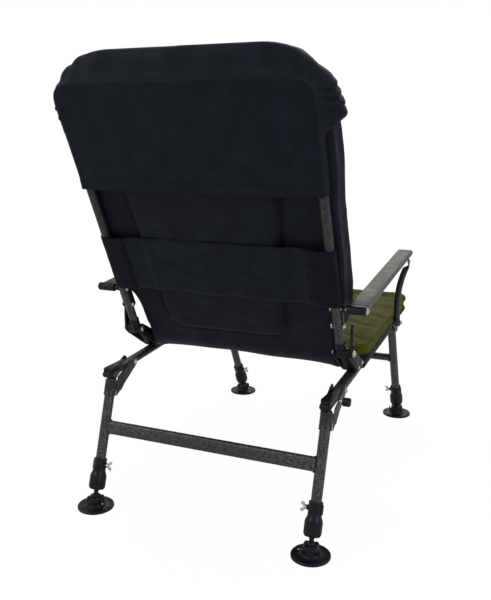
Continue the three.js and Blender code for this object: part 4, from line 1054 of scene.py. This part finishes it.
def mattress_x(column, along, share=0.0):
    """Inner columns keep their place; the outer ones spread to the edge, drawn in beside the left hinge."""
    half = half_width(along, share)
    inner = min(INNER_COLUMN, half * 0.86)
    reach = abs(column)
    if reach <= INNER_COLUMN:
        reach *= inner / INNER_COLUMN
    else:
        reach = inner + (reach - INNER_COLUMN) / (SIDE_COLUMN - INNER_COLUMN) * (half - inner)
    if column > 0:
        reach -= table(DRAWN_IN, along) * (1 - 0.6 * share) * (reach / half) ** 4
    return math.copysign(reach, column)


def grid_shell(rows, columns, walls):
    """A closed slab on a grid. Gives the bmesh and each vertex's (column, row, wall share)."""
    bm = bmesh.new()
    bmesh.ops.create_grid(bm, x_segments=len(columns) - 1, y_segments=len(rows) - 1, size=0.5)
    for vert in bm.verts:
        column = round((vert.co.x + 0.5) * (len(columns) - 1))
        row = round((vert.co.y + 0.5) * (len(rows) - 1))
        vert.co = (columns[column], rows[row], 0)
    step = 1 / walls
    faces = bm.faces[:]
    rear = bmesh.ops.duplicate(bm, geom=bm.verts[:] + bm.edges[:] + bm.faces[:])
    rear_rim = [edge for edge in edges_of(rear["geom"]) if edge.is_boundary]
    for vert in verts_of(rear["geom"]):
        vert.co.z = 0
    for vert in {vert for face in faces for vert in face.verts}:
        vert.co.z = 1
    edges = rear_rim
    for _ in range(1, walls):
        edges = advance(bm, edges, (0, 0, step))
    front_rim = [edge for edge in bm.edges if edge.is_boundary and all(v.co.z > 0.99 for v in edge.verts)]
    bmesh.ops.bridge_loops(bm, edges=edges + front_rim)
    bmesh.ops.recalc_face_normals(bm, faces=bm.faces)
    return bm


PANEL_MIDDLE = 0.0095
PANEL_HALF = 0.1295
PANEL_END = 0.571
PANEL_LEAN = 0.027
RIGHT_LEAN = 0.032
PANEL_ROUND = 0.040
LEAN_FROM, LEAN_OVER = 0.20, 0.40


def panel_distance(x, along):
    """Distance from the stitched panel's outline on the rear: round lower corners and sides that lean inward."""
    lean = (PANEL_LEAN if x > PANEL_MIDDLE else RIGHT_LEAN) * clamp((along - LEAN_FROM) / LEAN_OVER)
    across = max(abs(x - PANEL_MIDDLE) + lean - PANEL_HALF, 0)
    below = max(along - PANEL_END, 0)
    return math.hypot(across, below) - PANEL_ROUND


def panel_relief(x, along):
    """The panel stands out to the rear and its stitched outline is drawn in."""
    away = panel_distance(x, along)
    inside = clamp(-away / 0.009)
    lower = clamp((along - 0.085) / 0.060)
    groove = (0.0040 if x > PANEL_MIDDLE else 0.0062) * math.exp(-(away / 0.0038) ** 2)
    return (groove - 0.0115 * inside * inside * (3 - 2 * inside)) * lower


def holding(at_rim, share, near_seam, x, flat_along):
    """How firmly the stitching holds a point while the padding is puffed up."""
    if at_rim:
        return 0.92 if share in (0.0, 1.0) else 0.55
    if share > 0.5:
        if near_seam < 0.001:
            return 1.0
        return 0.35 if near_seam < 0.008 else 0.0
    on_outline = abs(panel_distance(x, flat_along)) < 0.006 and flat_along < 0.63
    return 1.0 if on_outline or abs(x) > 0.222 else 0.25


def mattress_point(column, flat_along, share):
    """Moves a point of the flat slab to its place in the padding, and says how firmly it is held."""
    x, along = mattress_x(column, flat_along, share), flat_along
    half = half_width(along, share)
    depth = share * table(THICKNESS, along)
    at_side = abs(abs(column) - SIDE_COLUMN) < 1e-6
    at_end = along < 1e-6 or along > SEAT_FRONT - 1e-6
    pull = 0.0
    if at_side or at_end:
        swell = RIM * (math.sin(math.pi * share) - 1)
        if at_side:
            x += math.copysign(swell, x)
        if along < 1e-6:
            along -= swell
        if along > SEAT_FRONT - 1e-6:
            along += swell
    else:
        edge = min(half - abs(x), along, SEAT_FRONT - along)
        pull = max(0.0, 1 - edge / ROLL)
        x *= 1 - RIM * pull / max(half, 0.05)
        along += RIM * pull * (max(0, 1 - along / ROLL) - max(0, 1 - (SEAT_FRONT - along) / ROLL))
        if share > 0.5:
            depth += FRONT_SWELL * (1 - pull ** 2)
            if along > FOLD_END:
                depth -= SEAT_FLATTER
    if along > FOLD_END + 0.010:
        aside = clamp((abs(x) - 0.165) / 0.085)
        depth *= 1 - SIDE_THINNING * aside * clamp((SEAT_FRONT - 0.03 - along) / 0.18)
    near_seam = min(abs(flat_along - seam) for seam in SEAMS)
    if not (at_side or at_end):
        if share > 0.5:
            if near_seam < 0.030:
                channel = BACK_CHANNEL if flat_along < FOLD_START else SEAT_CHANNEL
                depth -= channel * math.exp(-(near_seam / 0.009) ** 2) * (1 - pull)
        else:
            depth += panel_relief(x, flat_along) * (1 - pull)
            if share < 0.5:
                hollow = math.exp(-((flat_along - HOLLOW_MIDDLE) / HOLLOW_REACH) ** 2)
                depth += HOLLOW_DEPTH * hollow * (1 - 0.55 * (x / 0.22) ** 2)
    return (x, along, depth), holding(at_side or at_end, share, near_seam, x, flat_along)


def build_mattress():
    rows, columns = mattress_lines()
    bm = grid_shell(rows, columns, 4)
    uv = bm.loops.layers.uv.new("cloth")
    held = []
    for vert in bm.verts:
        vert.co, weight = mattress_point(*vert.co)
        held.append(weight)
    for face in bm.faces:
        middle = face.calc_center_median()
        span = [vert.co.z for vert in face.verts]
        top = min(span) > table(THICKNESS, middle.y) * 0.72 and face.normal.z > 0.35
        side_olive = middle.y > FOLD_END + 0.03 and min(span) > 0.15 * table(THICKNESS, middle.y)
        face.material_index = 0 if top or side_olive else 1
        for loop in face.loops:
            co = loop.vert.co
            if abs(face.normal.z) > 0.5:
                loop[uv].uv = (co.x, co.y)
            elif abs(face.normal.x) > abs(face.normal.y):
                loop[uv].uv = (co.x + math.copysign(co.z, co.x), co.y)
            else:
                loop[uv].uv = (co.x, co.y + co.z)
    mesh = bpy.data.meshes.new("mattress")
    bm.to_mesh(mesh)
    bm.free()
    made = bpy.data.objects.new("mattress", mesh)
    scene.collection.objects.link(made)
    inflate(made, held, 3.6, 18, (0.013, 0.004))
    ripple(made)
    raise_level(made)
    for vert in mesh.vertices:
        if vert.co.y < TOP_FLAT:
            vert.co.y = TOP_FLAT - TOP_SQUEEZE * (TOP_FLAT - vert.co.y)
        vert.co = folded(vert.co)
    settle(made)
    mesh.update()
    mesh.polygons.foreach_set("use_smooth", [True] * len(mesh.polygons))
    mesh.materials.append(olive_cloth)
    mesh.materials.append(rear_cloth)
    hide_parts("seat_pad", "back_pad")
    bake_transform(made)


def inflate(made, held, pressure, frames, caps):
    """Fills the slab with air pressure against its held seams, as cloth, and keeps the shape.
    The caps are how far the front and the rear may move."""
    mesh = made.data
    rest = [vert.co.copy() for vert in mesh.vertices]
    group = made.vertex_groups.new(name="held")
    for index, weight in enumerate(held):
        if weight:
            group.add([index], weight, "REPLACE")
    cloth = made.modifiers.new("puff", "CLOTH")
    cloth.settings.vertex_group_mass = "held"
    cloth.settings.effector_weights.gravity = 0
    cloth.settings.use_pressure = True
    cloth.settings.uniform_pressure_force = pressure
    cloth.settings.mass = 0.3
    cloth.settings.tension_stiffness = 12
    cloth.settings.compression_stiffness = 12
    cloth.settings.bending_stiffness = 0.15
    cloth.settings.shrink_min = -0.035
    cloth.settings.quality = 6
    for step in range(1, frames + 1):
        scene.frame_set(step)
    result = made.evaluated_get(bpy.context.evaluated_depsgraph_get())
    puffed = [vert.co.copy() for vert in result.data.vertices]
    made.modifiers.remove(cloth)
    made.vertex_groups.clear()
    scene.frame_set(1)
    for vert, start, end in zip(mesh.vertices, rest, puffed):
        move = end - start
        cap = caps[0] if start.z > 0.020 else caps[1]
        if start.y > FOLD_END:
            cap *= 0.9 - 0.4 * clamp((start.y - SEAT_FRONT + 0.24) / 0.12)
        if move.length > cap:
            move *= cap / move.length
        vert.co = start + move


def ripple(made):
    """Small pull folds that run away from the seams, and slack on the rear and the sides."""
    for vert in made.data.vertices:
        x, along, depth = vert.co
        near = min(abs(along - seam) for seam in SEAMS)
        rear = depth < 0.022
        slow = noise.noise(Vector((x * 9, along * 9, 3.0 if rear else 7.0)))
        quick = noise.noise(Vector((x * 55, along * 16, 5.0)))
        if rear:
            vert.co.z += 0.0030 * slow * (1 if abs(x) < 0.215 else 0.15)
        else:
            vert.co.z += 0.0018 * slow + 0.0026 * quick * math.exp(-(near / 0.022) ** 2)
        if abs(x) > half_width(along) - 0.014:
            fold = noise.noise(Vector((along * 42, depth * 18, 11.0)))
            vert.co.x += math.copysign(0.0022 * fold, x)


def raise_level(made):
    """One level of subdivision, kept in the mesh."""
    made.modifiers.new("smooth", "SUBSURF").levels = 1
    result = made.evaluated_get(bpy.context.evaluated_depsgraph_get())
    smooth = bpy.data.meshes.new_from_object(result)
    made.modifiers.clear()
    smooth_bm = bmesh.new()
    smooth_bm.from_mesh(smooth)
    smooth_bm.to_mesh(made.data)
    smooth_bm.free()
    bpy.data.meshes.remove(smooth)


def settle(made):
    """Keeps the padding in front of the back tubes and above the seat tubes."""
    to_back, to_seat = BACK.inverted(), SEAT.inverted()
    for vert in made.data.vertices:
        spot = to_back @ vert.co
        near_tube = abs(spot.x) > 0.226 or spot.z > 0.505
        limit = -0.0103 if near_tube else 0.0035
        if spot.z > (-0.06 if near_tube else 0) and spot.y > limit:
            spot.y = limit
            vert.co = BACK @ spot
        spot = to_seat @ vert.co
        if spot.y < -0.14 and spot.z < 0.0076 and abs(spot.x) > 0.200:
            spot.z = 0.0076
            vert.co = SEAT @ spot


# Cloths of the mattress and its covers, with their rows of stitches

def channel_rows(tree, flat):
    """Distance along Y to the nearest channel seam."""
    parts = node(tree, "SeparateXYZ", {"Vector": flat}).outputs
    shifted = calc(tree, "SUBTRACT", parts["Y"], FIRST_SEAM)
    wrapped = calc(tree, "PINGPONG", shifted, CHANNEL / 2)
    return parts, wrapped


olive_cloth, tree, shader, flat, shade = cloth("olive_cloth", OLIVE, 0.68, 0.015, 0.0011, 0.0010)
parts, away = channel_rows(tree, flat)
row = use(tree, STITCH, Along=parts["X"], Away=away, Step=0.0022)
# Painted shade: the olive is darkened within 10 mm of each channel seam, where the sunken seam lies in shade.
seam_painted_shade = blend_colour(tree, ramp(tree, away, 0.0, 0.010, 0.55, 0.0), shade, (0.020, 0.021, 0.006, 1))
sewn(tree, shader, seam_painted_shade, row["Thread"], row["Height"], (0.060, 0.062, 0.018))

rear_cloth, tree, shader, flat, shade = cloth("rear_cloth", BLACK, 0.60, 0.03, 0.0011, 0.0014)
parts = node(tree, "SeparateXYZ", {"Vector": flat}).outputs
aside = calc(tree, "ABSOLUTE", calc(tree, "SUBTRACT", parts["X"], PANEL_MIDDLE))
left_half = calc(tree, "GREATER_THAN", parts["X"], PANEL_MIDDLE)
lean = calc(tree, "MULTIPLY", ramp(tree, left_half, 0.0, 1.0, RIGHT_LEAN, PANEL_LEAN),
            ramp(tree, parts["Y"], LEAN_FROM, LEAN_FROM + LEAN_OVER, 0.0, 1.0))
across = calc(tree, "MAXIMUM", calc(tree, "SUBTRACT", calc(tree, "ADD", aside, lean), PANEL_HALF), 0.0)
below = calc(tree, "MAXIMUM", calc(tree, "SUBTRACT", parts["Y"], PANEL_END), 0.0)
square = calc(tree, "ADD", calc(tree, "MULTIPLY", across, across), calc(tree, "MULTIPLY", below, below))
outline = calc(tree, "SUBTRACT", calc(tree, "SQRT", square), PANEL_ROUND)
row = use(tree, STITCH, Along=calc(tree, "ADD", parts["X"], parts["Y"]), Away=outline, Step=0.0022)
# Painted shade: the groove mask darkens the rear cloth within 9 mm of the panel's stitched outline, where the drawn-in
# groove lies in shade.
groove = ramp(tree, calc(tree, "ABSOLUTE", outline), 0.001, 0.009, 0.85, 0.0)
seam_painted_shade = blend_colour(tree, groove, shade, (0.003, 0.004, 0.006, 1))
sewn(tree, shader, seam_painted_shade, row["Thread"], row["Height"], (0.0022, 0.0028, 0.0042))


def hem_cloth(name, colour, rows, rough=0.58, sheen=0.03):
    """Cloth with straight rows of stitches at the given places along its V."""
    made, tree, shader, flat, shade = cloth(name, colour, rough, sheen, 0.0011, 0.0012)
    parts = node(tree, "SeparateXYZ", {"Vector": flat}).outputs
    nearest = None
    for place in rows:
        away = calc(tree, "ABSOLUTE", calc(tree, "SUBTRACT", parts["Y"], place))
        nearest = away if nearest is None else calc(tree, "MINIMUM", nearest, away)
    row = use(tree, STITCH, Along=parts["X"], Away=nearest, Step=0.0022)
    sewn(tree, shader, shade, row["Thread"], row["Height"], tuple(c * 0.6 for c in colour))
    return made


pocket_cloth = hem_cloth("pocket_cloth", (0.0050, 0.0093, 0.0152), [0.018, 0.021])
band_cloth = hem_cloth("band_cloth", (0.0062, 0.0088, 0.0142), [0.004, 0.1265])


# Head pocket: it hangs over the top bow, hoods the mattress's upper end and is gathered at its corners

HEM = 0.345
LEDGE_REACH = 0.0660
RING_SPACING = 0.0031
HOOD_X, HOOD_RISE, HOOD_WIDE, HOOD_TALL = 0.150, 0.470, 0.137, 0.130
HOOD_RINGS = [(0.0, 0.0127, 0.0), (0.05, 0.0092, 0.0), (0.13, 0.0012, 0.0), (0.40, -0.0085, 0.0),
              (0.80, -0.0195, 0.0), (1.0, -0.0320, 0.0), (1.0, -0.0450, 0.0022), (1.0, -0.0575, 0.0075),
              (1.0, -0.0660, 0.0135), (1.0, -0.0695, 0.0205)]
SKIRT_RINGS = [(0.0, 0.0127, 0.0), (0.24, 0.0122, 0.0), (0.55, 0.0100, 0.0), (0.80, 0.0058, 0.0),
               (0.96, 0.0002, 0.0), (1.0, -0.0045, 0.0), (0.97, -0.0075, 0.0), (0.88, -0.0096, 0.0),
               (0.72, -0.0104, 0.0), (0.55, -0.0106, 0.0)]
SKIRT_LEDGE, SKIRT_EDGE = 0.2450, 0.2584
FLAT_LEVELS, RING_STEPS = 8, 3


def ring_at(rings, level):
    """Reads the rings at a level between their rows, on a smooth curve."""
    place = level / RING_STEPS
    index = min(int(place), len(rings) - 2)
    share = place - index
    rows = [rings[min(max(index + step, 0), len(rings) - 1)] for step in (-1, 0, 1, 2)]
    out = []
    for before, here, there, after in zip(*rows):
        bend = 2 * before - 5 * here + 4 * there - after
        twist = -before + 3 * here - 3 * there + after
        out.append(here + 0.5 * share * (there - before + share * (bend + share * twist)))
    return out


def hood_edge(start, turn, across, up):
    """The hood's widest outline: a quarter of an ellipse at each corner, level between them."""
    if not up:
        lift = max(0.0, start.y - HOOD_RISE) / HOOD_TALL
        return Vector((HOOD_X + HOOD_WIDE * math.sqrt(1 - lift ** 2), start.y))
    if not across:
        lean = max(0.0, start.x - HOOD_X) / HOOD_WIDE
        return Vector((start.x, HOOD_RISE + HOOD_TALL * math.sqrt(1 - lean ** 2)))
    low = math.asin((BEND_RISE - HOOD_RISE) / HOOD_TALL)
    high = math.acos((BEND_X - HOOD_X) / HOOD_WIDE)
    angle = low + (high - low) * turn / (math.pi / 2)
    return Vector((HOOD_X + HOOD_WIDE * math.cos(angle), HOOD_RISE + HOOD_TALL * math.sin(angle)))


def pocket_point(inner_x, inner_rise, across, up, side):
    """A point of the pocket from its place on the flat sheet: a spot on the inner field, and how many
    levels beyond it the point lies across and up."""
    level = max(across, up)
    if level == 0:
        turn = 0.0
    elif across >= up:
        turn = math.pi / 4 * up / across
    else:
        turn = math.pi / 2 - math.pi / 4 * across / up
    way = Vector((math.cos(turn), math.sin(turn)))
    start = Vector((inner_x, inner_rise))
    hood = table([(0.455, 0.0), (0.475, 1.0)], inner_rise)
    edge = hood_edge(start, turn, across, up)
    if across and not up:
        ledge = Vector((SKIRT_LEDGE + (BEND_X + LEDGE_REACH - SKIRT_LEDGE) * hood, inner_rise))
        edge.x = edge.x * hood + (SKIRT_EDGE + 0.0024 * side) * (1 - hood)
    else:
        square = Vector((math.sqrt(max(0.0, way.x)), math.sqrt(max(0.0, way.y))))
        ledge = start + square * LEDGE_REACH
    if level <= FLAT_LEVELS:
        spot, depth, rim = start.lerp(ledge, level / FLAT_LEVELS), HOOD_RINGS[0][1], 0.0
    else:
        step = level - FLAT_LEVELS
        hooded, plain = ring_at(HOOD_RINGS, step), ring_at(SKIRT_RINGS, step)
        share, depth, inset = [low + (high - low) * hood for low, high in zip(plain, hooded)]
        spot = ledge.lerp(edge, share) - way * inset
        rim = step / (RING_STEPS * (len(HOOD_RINGS) - 1))
    return spot, depth, rim, way, turn, hood


def pocket_folds(spot, depth, rim, way, turn, hood, rise, side):
    """Gathers at the two corners, slack in the flat cloth and the flare at the hem."""
    x = spot.x
    arc = rise + turn * 0.105
    slow = noise.noise(Vector((x * 7, spot.y * 7, 1.7)))
    drag = noise.noise(Vector((x * 5 + spot.y * 16, spot.y * 5 - x * 4, 6.3)))
    field = 1 - min(1, rim * 6)
    depth += 0.0026 * slow * field + 0.0016 * drag * field
    depth += 0.0030 * math.exp(-(spot.y - HEM) / 0.014) + (0.0011 if spot.y < HEM + 0.0185 else 0.0)
    corner = hood * math.exp(-((arc - 0.506) / 0.034) ** 2) * clamp(rim * 4 - 0.6)
    wave = math.sin(arc * 330 + 1.5 * rim + 1.2 * noise.noise(Vector((side * x * 14, arc * 20, 4.0))))
    gather = 0.0042 * corner * wave * math.sin(math.pi * min(1, rim * 1.1)) ** 0.7
    bend = math.sqrt(max(0.0, math.sin(2 * turn))) * clamp(rim * 4 - 0.8)
    scallop = abs(math.sin(turn * (7.2 if side > 0 else 3.4) + 0.5 * side + 0.9 * rim))
    gather += 0.0058 * bend * (scallop - 0.62)
    ease = 0.0024 * hood * noise.noise(Vector((arc * 34, rim * 3.0, 9.0 + side))) * min(1, rim * 4)
    spot = spot + way * (gather + ease)
    depth += 0.6 * gather
    return Vector((spot.x, depth, spot.y))


def laid_out(inner, levels):
    """A point's place on the flat sheet, from its inner spot and the levels beyond it."""
    ledge = LEDGE_REACH * min(levels, FLAT_LEVELS) / FLAT_LEVELS
    return inner + ledge + RING_SPACING * max(0, levels - FLAT_LEVELS)


def thicken(made, thickness):
    shell = made.modifiers.new("thick", "SOLIDIFY")
    shell.thickness = thickness
    shell.offset = 0


def build_pocket():
    levels = FLAT_LEVELS + RING_STEPS * (len(HOOD_RINGS) - 1)
    middle = 44
    rises = [HEM, HEM + 0.002, HEM + 0.006, HEM + 0.012, HEM + 0.0175, HEM + 0.0195]
    while rises[-1] < 0.452:
        rises.append(rises[-1] + 0.0085)
    while rises[-1] < BEND_RISE - 0.004:
        rises.append(rises[-1] + 0.0026)
    rises.append(BEND_RISE)
    columns, rows = middle + 2 * levels, len(rises) - 1 + levels
    bm = bmesh.new()
    bmesh.ops.create_grid(bm, x_segments=columns, y_segments=rows, size=0.5)
    flat = {}
    for vert in bm.verts:
        column = round((vert.co.x + 0.5) * columns) - levels - middle // 2
        row = round((vert.co.y + 0.5) * rows)
        across = max(0, abs(column) - middle // 2)
        up = max(0, row - (len(rises) - 1))
        rise = rises[min(row, len(rises) - 1)]
        inner_x = BEND_X * min(abs(column), middle // 2) / (middle // 2)
        side = 1 if column > 0 else -1
        parts = pocket_point(inner_x, rise, across, up, side)
        spot = pocket_folds(*parts, rise, side)
        vert.co = (math.copysign(spot.x, column) if column else 0.0, spot.y, spot.z)
        flat[vert] = (math.copysign(laid_out(inner_x, across), column), laid_out(rise, up) - HEM)
    uv = bm.loops.layers.uv.new("cloth")
    for face in bm.faces:
        for loop in face.loops:
            loop[uv].uv = flat[loop.vert]
    made = finish_mesh(bm, "pocket", [pocket_cloth], None, BACK, 80)
    thicken(made, 0.0014)
    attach(made, "back_frame")
    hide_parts("head_pocket")


def strip(bm, points, runs, uv, index=0, offset=(0.0, 0.0)):
    """A ribbon of cloth: a row of points carried through a list of moves, with a UV map in metres."""
    lengths = [0.0]
    for first, second in zip(points, points[1:]):
        lengths.append(lengths[-1] + (Vector(second) - Vector(first)).length)
    total = 0.0
    verts = [bm.verts.new(point) for point in points]
    edges = [bm.edges.new(ends) for ends in zip(verts, verts[1:])]
    places = {vert: (length, total) for vert, length in zip(verts, lengths)}
    for run in runs:
        total += Vector(run).length
        new = bmesh.ops.extrude_edge_only(bm, edges=edges)["geom"]
        made = verts_of(new)
        for vert in made:
            near = min(verts, key=lambda old: (old.co - vert.co).length_squared)
            places[vert] = (places[near][0], total)
        bmesh.ops.translate(bm, vec=run, verts=made)
        for face in {face for vert in made for face in vert.link_faces}:
            face.material_index = index
            for loop in face.loops:
                along, up = places[loop.vert]
                loop[uv].uv = (along + offset[0], up + offset[1])
        verts, edges = made, edges_of(new)


# Lumbar band: cloth across the back with an elastic end round each upright
def build_band():
    low, high = 0.097, 0.2275
    bm = bmesh.new()
    uv = bm.loops.layers.uv.new("cloth")
    steps = [(0, 0, (high - low) / 24)] * 24
    wrap = 0.0113
    arc = [(UPRIGHT + wrap * math.cos(math.radians(a)), wrap * math.sin(math.radians(a))) for a in range(80, -41, -12)]
    middle = [(x, 0.0125, low) for x in [0.004 * step for step in range(-50, 51)]]
    strip(bm, middle, steps, uv)
    for side in (1, -1):
        end = [(0.200, 0.0131), (0.210, 0.0129), (0.220, 0.0125), (0.230, 0.0121), (0.238, 0.0116)] + arc
        end += [(UPRIGHT + 0.0072, -0.0099)]
        strip(bm, [(side * x, y, low) for x, y in end], steps, uv, 1)
    for vert in bm.verts:
        x, y, rise = vert.co
        taut = max(0.0, 1 - abs(abs(x) - UPRIGHT) / 0.03)
        if abs(x) < 0.236:
            vert.co.y += table([(0.0, -0.0062), (0.148, -0.0062), (0.161, -0.0096), (0.236, 0.0)], abs(x))
        vert.co.y += (1 - taut) * 0.0022 * noise.noise(Vector((x * 10, rise * 16, 2.0)))
        vert.co.y += 0.0010 * (1 - taut) * math.sin((rise - low) * 160 + 4 * noise.noise(Vector((x * 14, 0, 0))))
        edge = min(rise - low, high - rise)
        vert.co.y -= 0.0018 * math.exp(-edge / 0.004) * (1 - taut)
    made = finish_mesh(bm, "band", [band_cloth, elastic_cloth], None, BACK, 80)
    thicken(made, 0.0013)
    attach(made, "back_frame")
    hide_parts("lumbar_band")


# Wraps: the mattress's straps close round the seat's side tubes
def build_wraps():
    start, reach = HINGE_Y - 0.1310, 0.2796
    bm = bmesh.new()
    uv = bm.loops.layers.uv.new("cloth")
    outline = []
    for x, z in ((-0.0130, -0.0035), (-0.0146, 0.0010), (-0.0140, 0.0052), (-0.0105, 0.0080), (-0.0050, 0.0088),
                 (0.0020, 0.0089), (0.0085, 0.0085), (0.0128, 0.0062), (0.0146, 0.0015), (0.0146, -0.0035),
                 (0.0132, -0.0068), (0.0095, -0.0082), (0.0040, -0.0084), (-0.0030, -0.0082)):
        outline.append((TRACK + x, start, z))
    count = 64
    strip(bm, outline, [(0, -reach / count, 0)] * count, uv)
    for vert in bm.verts:
        x, y, z = vert.co
        out = Vector((x - TRACK, 0, z)).normalized()
        folds = noise.noise(Vector((x * 30, y * 42, z * 60)))
        vert.co += out * (0.0005 * folds + 0.0002)
    for (letter, _), shape in zip(SIDES, (bm, flipped(bm))):
        made = finish_mesh(shape, f"tube_wrap_{letter}", [hem_wrap], None, SEAT, 80)
        thicken(made, 0.0012)
        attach(made, "seat_frame")
        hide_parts(f"seat_wrap_{letter}")


hem_wrap = hem_cloth("wrap_cloth", BLACK, [0.004, 0.2756])
build_mattress()
build_pocket()
build_band()
build_wraps()


# Floor, light and camera

def flat_floor():
    bm = bmesh.new()
    bmesh.ops.create_grid(bm, x_segments=1, y_segments=1, size=30)
    made = finish_mesh(bm, "floor", [], None)
    pale = bpy.data.materials.new("pale_floor")
    pale.use_nodes = True
    tree = pale.node_tree
    tree.nodes.clear()
    diffuse = node(tree, "BsdfDiffuse", {"Color": (0.86, 0.86, 0.86, 1)})
    glow = node(tree, "Emission", {"Color": (1, 1, 1, 1), "Strength": 1.05})
    seen = node(tree, "LightPath").outputs
    place = node(tree, "TexCoord").outputs["Object"]
    away = node(tree, "VectorMath", {0: place}, operation="LENGTH").outputs["Value"]
    share = calc(tree, "MULTIPLY", seen["Is Camera Ray"], ramp(tree, away, 0.9, 2.6, 0.90, 1.0))
    mixed = node(tree, "MixShader", {0: share, 1: diffuse.outputs[0], 2: glow.outputs[0]})
    node(tree, "OutputMaterial", {"Surface": mixed.outputs[0]})
    made.data.materials.append(pale)


def lamp(name, spot, aim, size, power):
    data = bpy.data.lights.new(name, "AREA")
    data.shape = "RECTANGLE"
    data.size, data.size_y = size
    data.energy = power
    made = bpy.data.objects.new(name, data)
    made.location = spot
    made.rotation_euler = (Vector(aim) - Vector(spot)).to_track_quat("-Z", "Y").to_euler()
    scene.collection.objects.link(made)


def sky():
    world = bpy.data.worlds.new("studio")
    scene.world = world
    world.use_nodes = True
    tree = world.node_tree
    tree.nodes.clear()
    seen = node(tree, "LightPath").outputs
    direct = calc(tree, "MAXIMUM", seen["Is Camera Ray"], seen["Is Transmission Ray"])
    strength = ramp(tree, direct, 0.0, 1.0, 0.50, 1.0)
    shine = node(tree, "Background", {"Color": (1, 1, 1, 1), "Strength": strength})
    node(tree, "OutputWorld", {"Surface": shine.outputs[0]})


def camera():
    data = bpy.data.cameras.new("camera")
    data.lens = 43.3
    data.sensor_width = 36
    data.shift_x = 0.0013
    data.shift_y = 0.0375
    made = bpy.data.objects.new("camera", data)
    yaw, pitch, roll = math.radians(157.2), math.radians(-14.1), math.radians(0.38)
    ahead = Vector((math.sin(yaw) * math.cos(pitch), math.cos(yaw) * math.cos(pitch), math.sin(pitch)))
    right = ahead.cross(Vector((0, 0, 1))).normalized()
    above = right.cross(ahead)
    turn = Matrix((right, above, -ahead)).transposed() @ Matrix.Rotation(roll, 3, "Z")
    made.matrix_world = Matrix.Translation((-0.618, 1.6146, 0.791)) @ turn.to_4x4()
    scene.collection.objects.link(made)
    scene.camera = made


flat_floor()
sky()
lamp("key", (1.9, 2.6, 2.9), (0, 0, 0.5), (1.6, 1.6), 34)
lamp("side", (-3.0, 1.2, 1.9), (0, 0, 0.5), (1.4, 2.0), 26)
lamp("front", (0.6, -3.0, 2.4), (0, 0, 0.4), (2.2, 1.6), 30)
camera()
scene.view_settings.view_transform = "Standard"
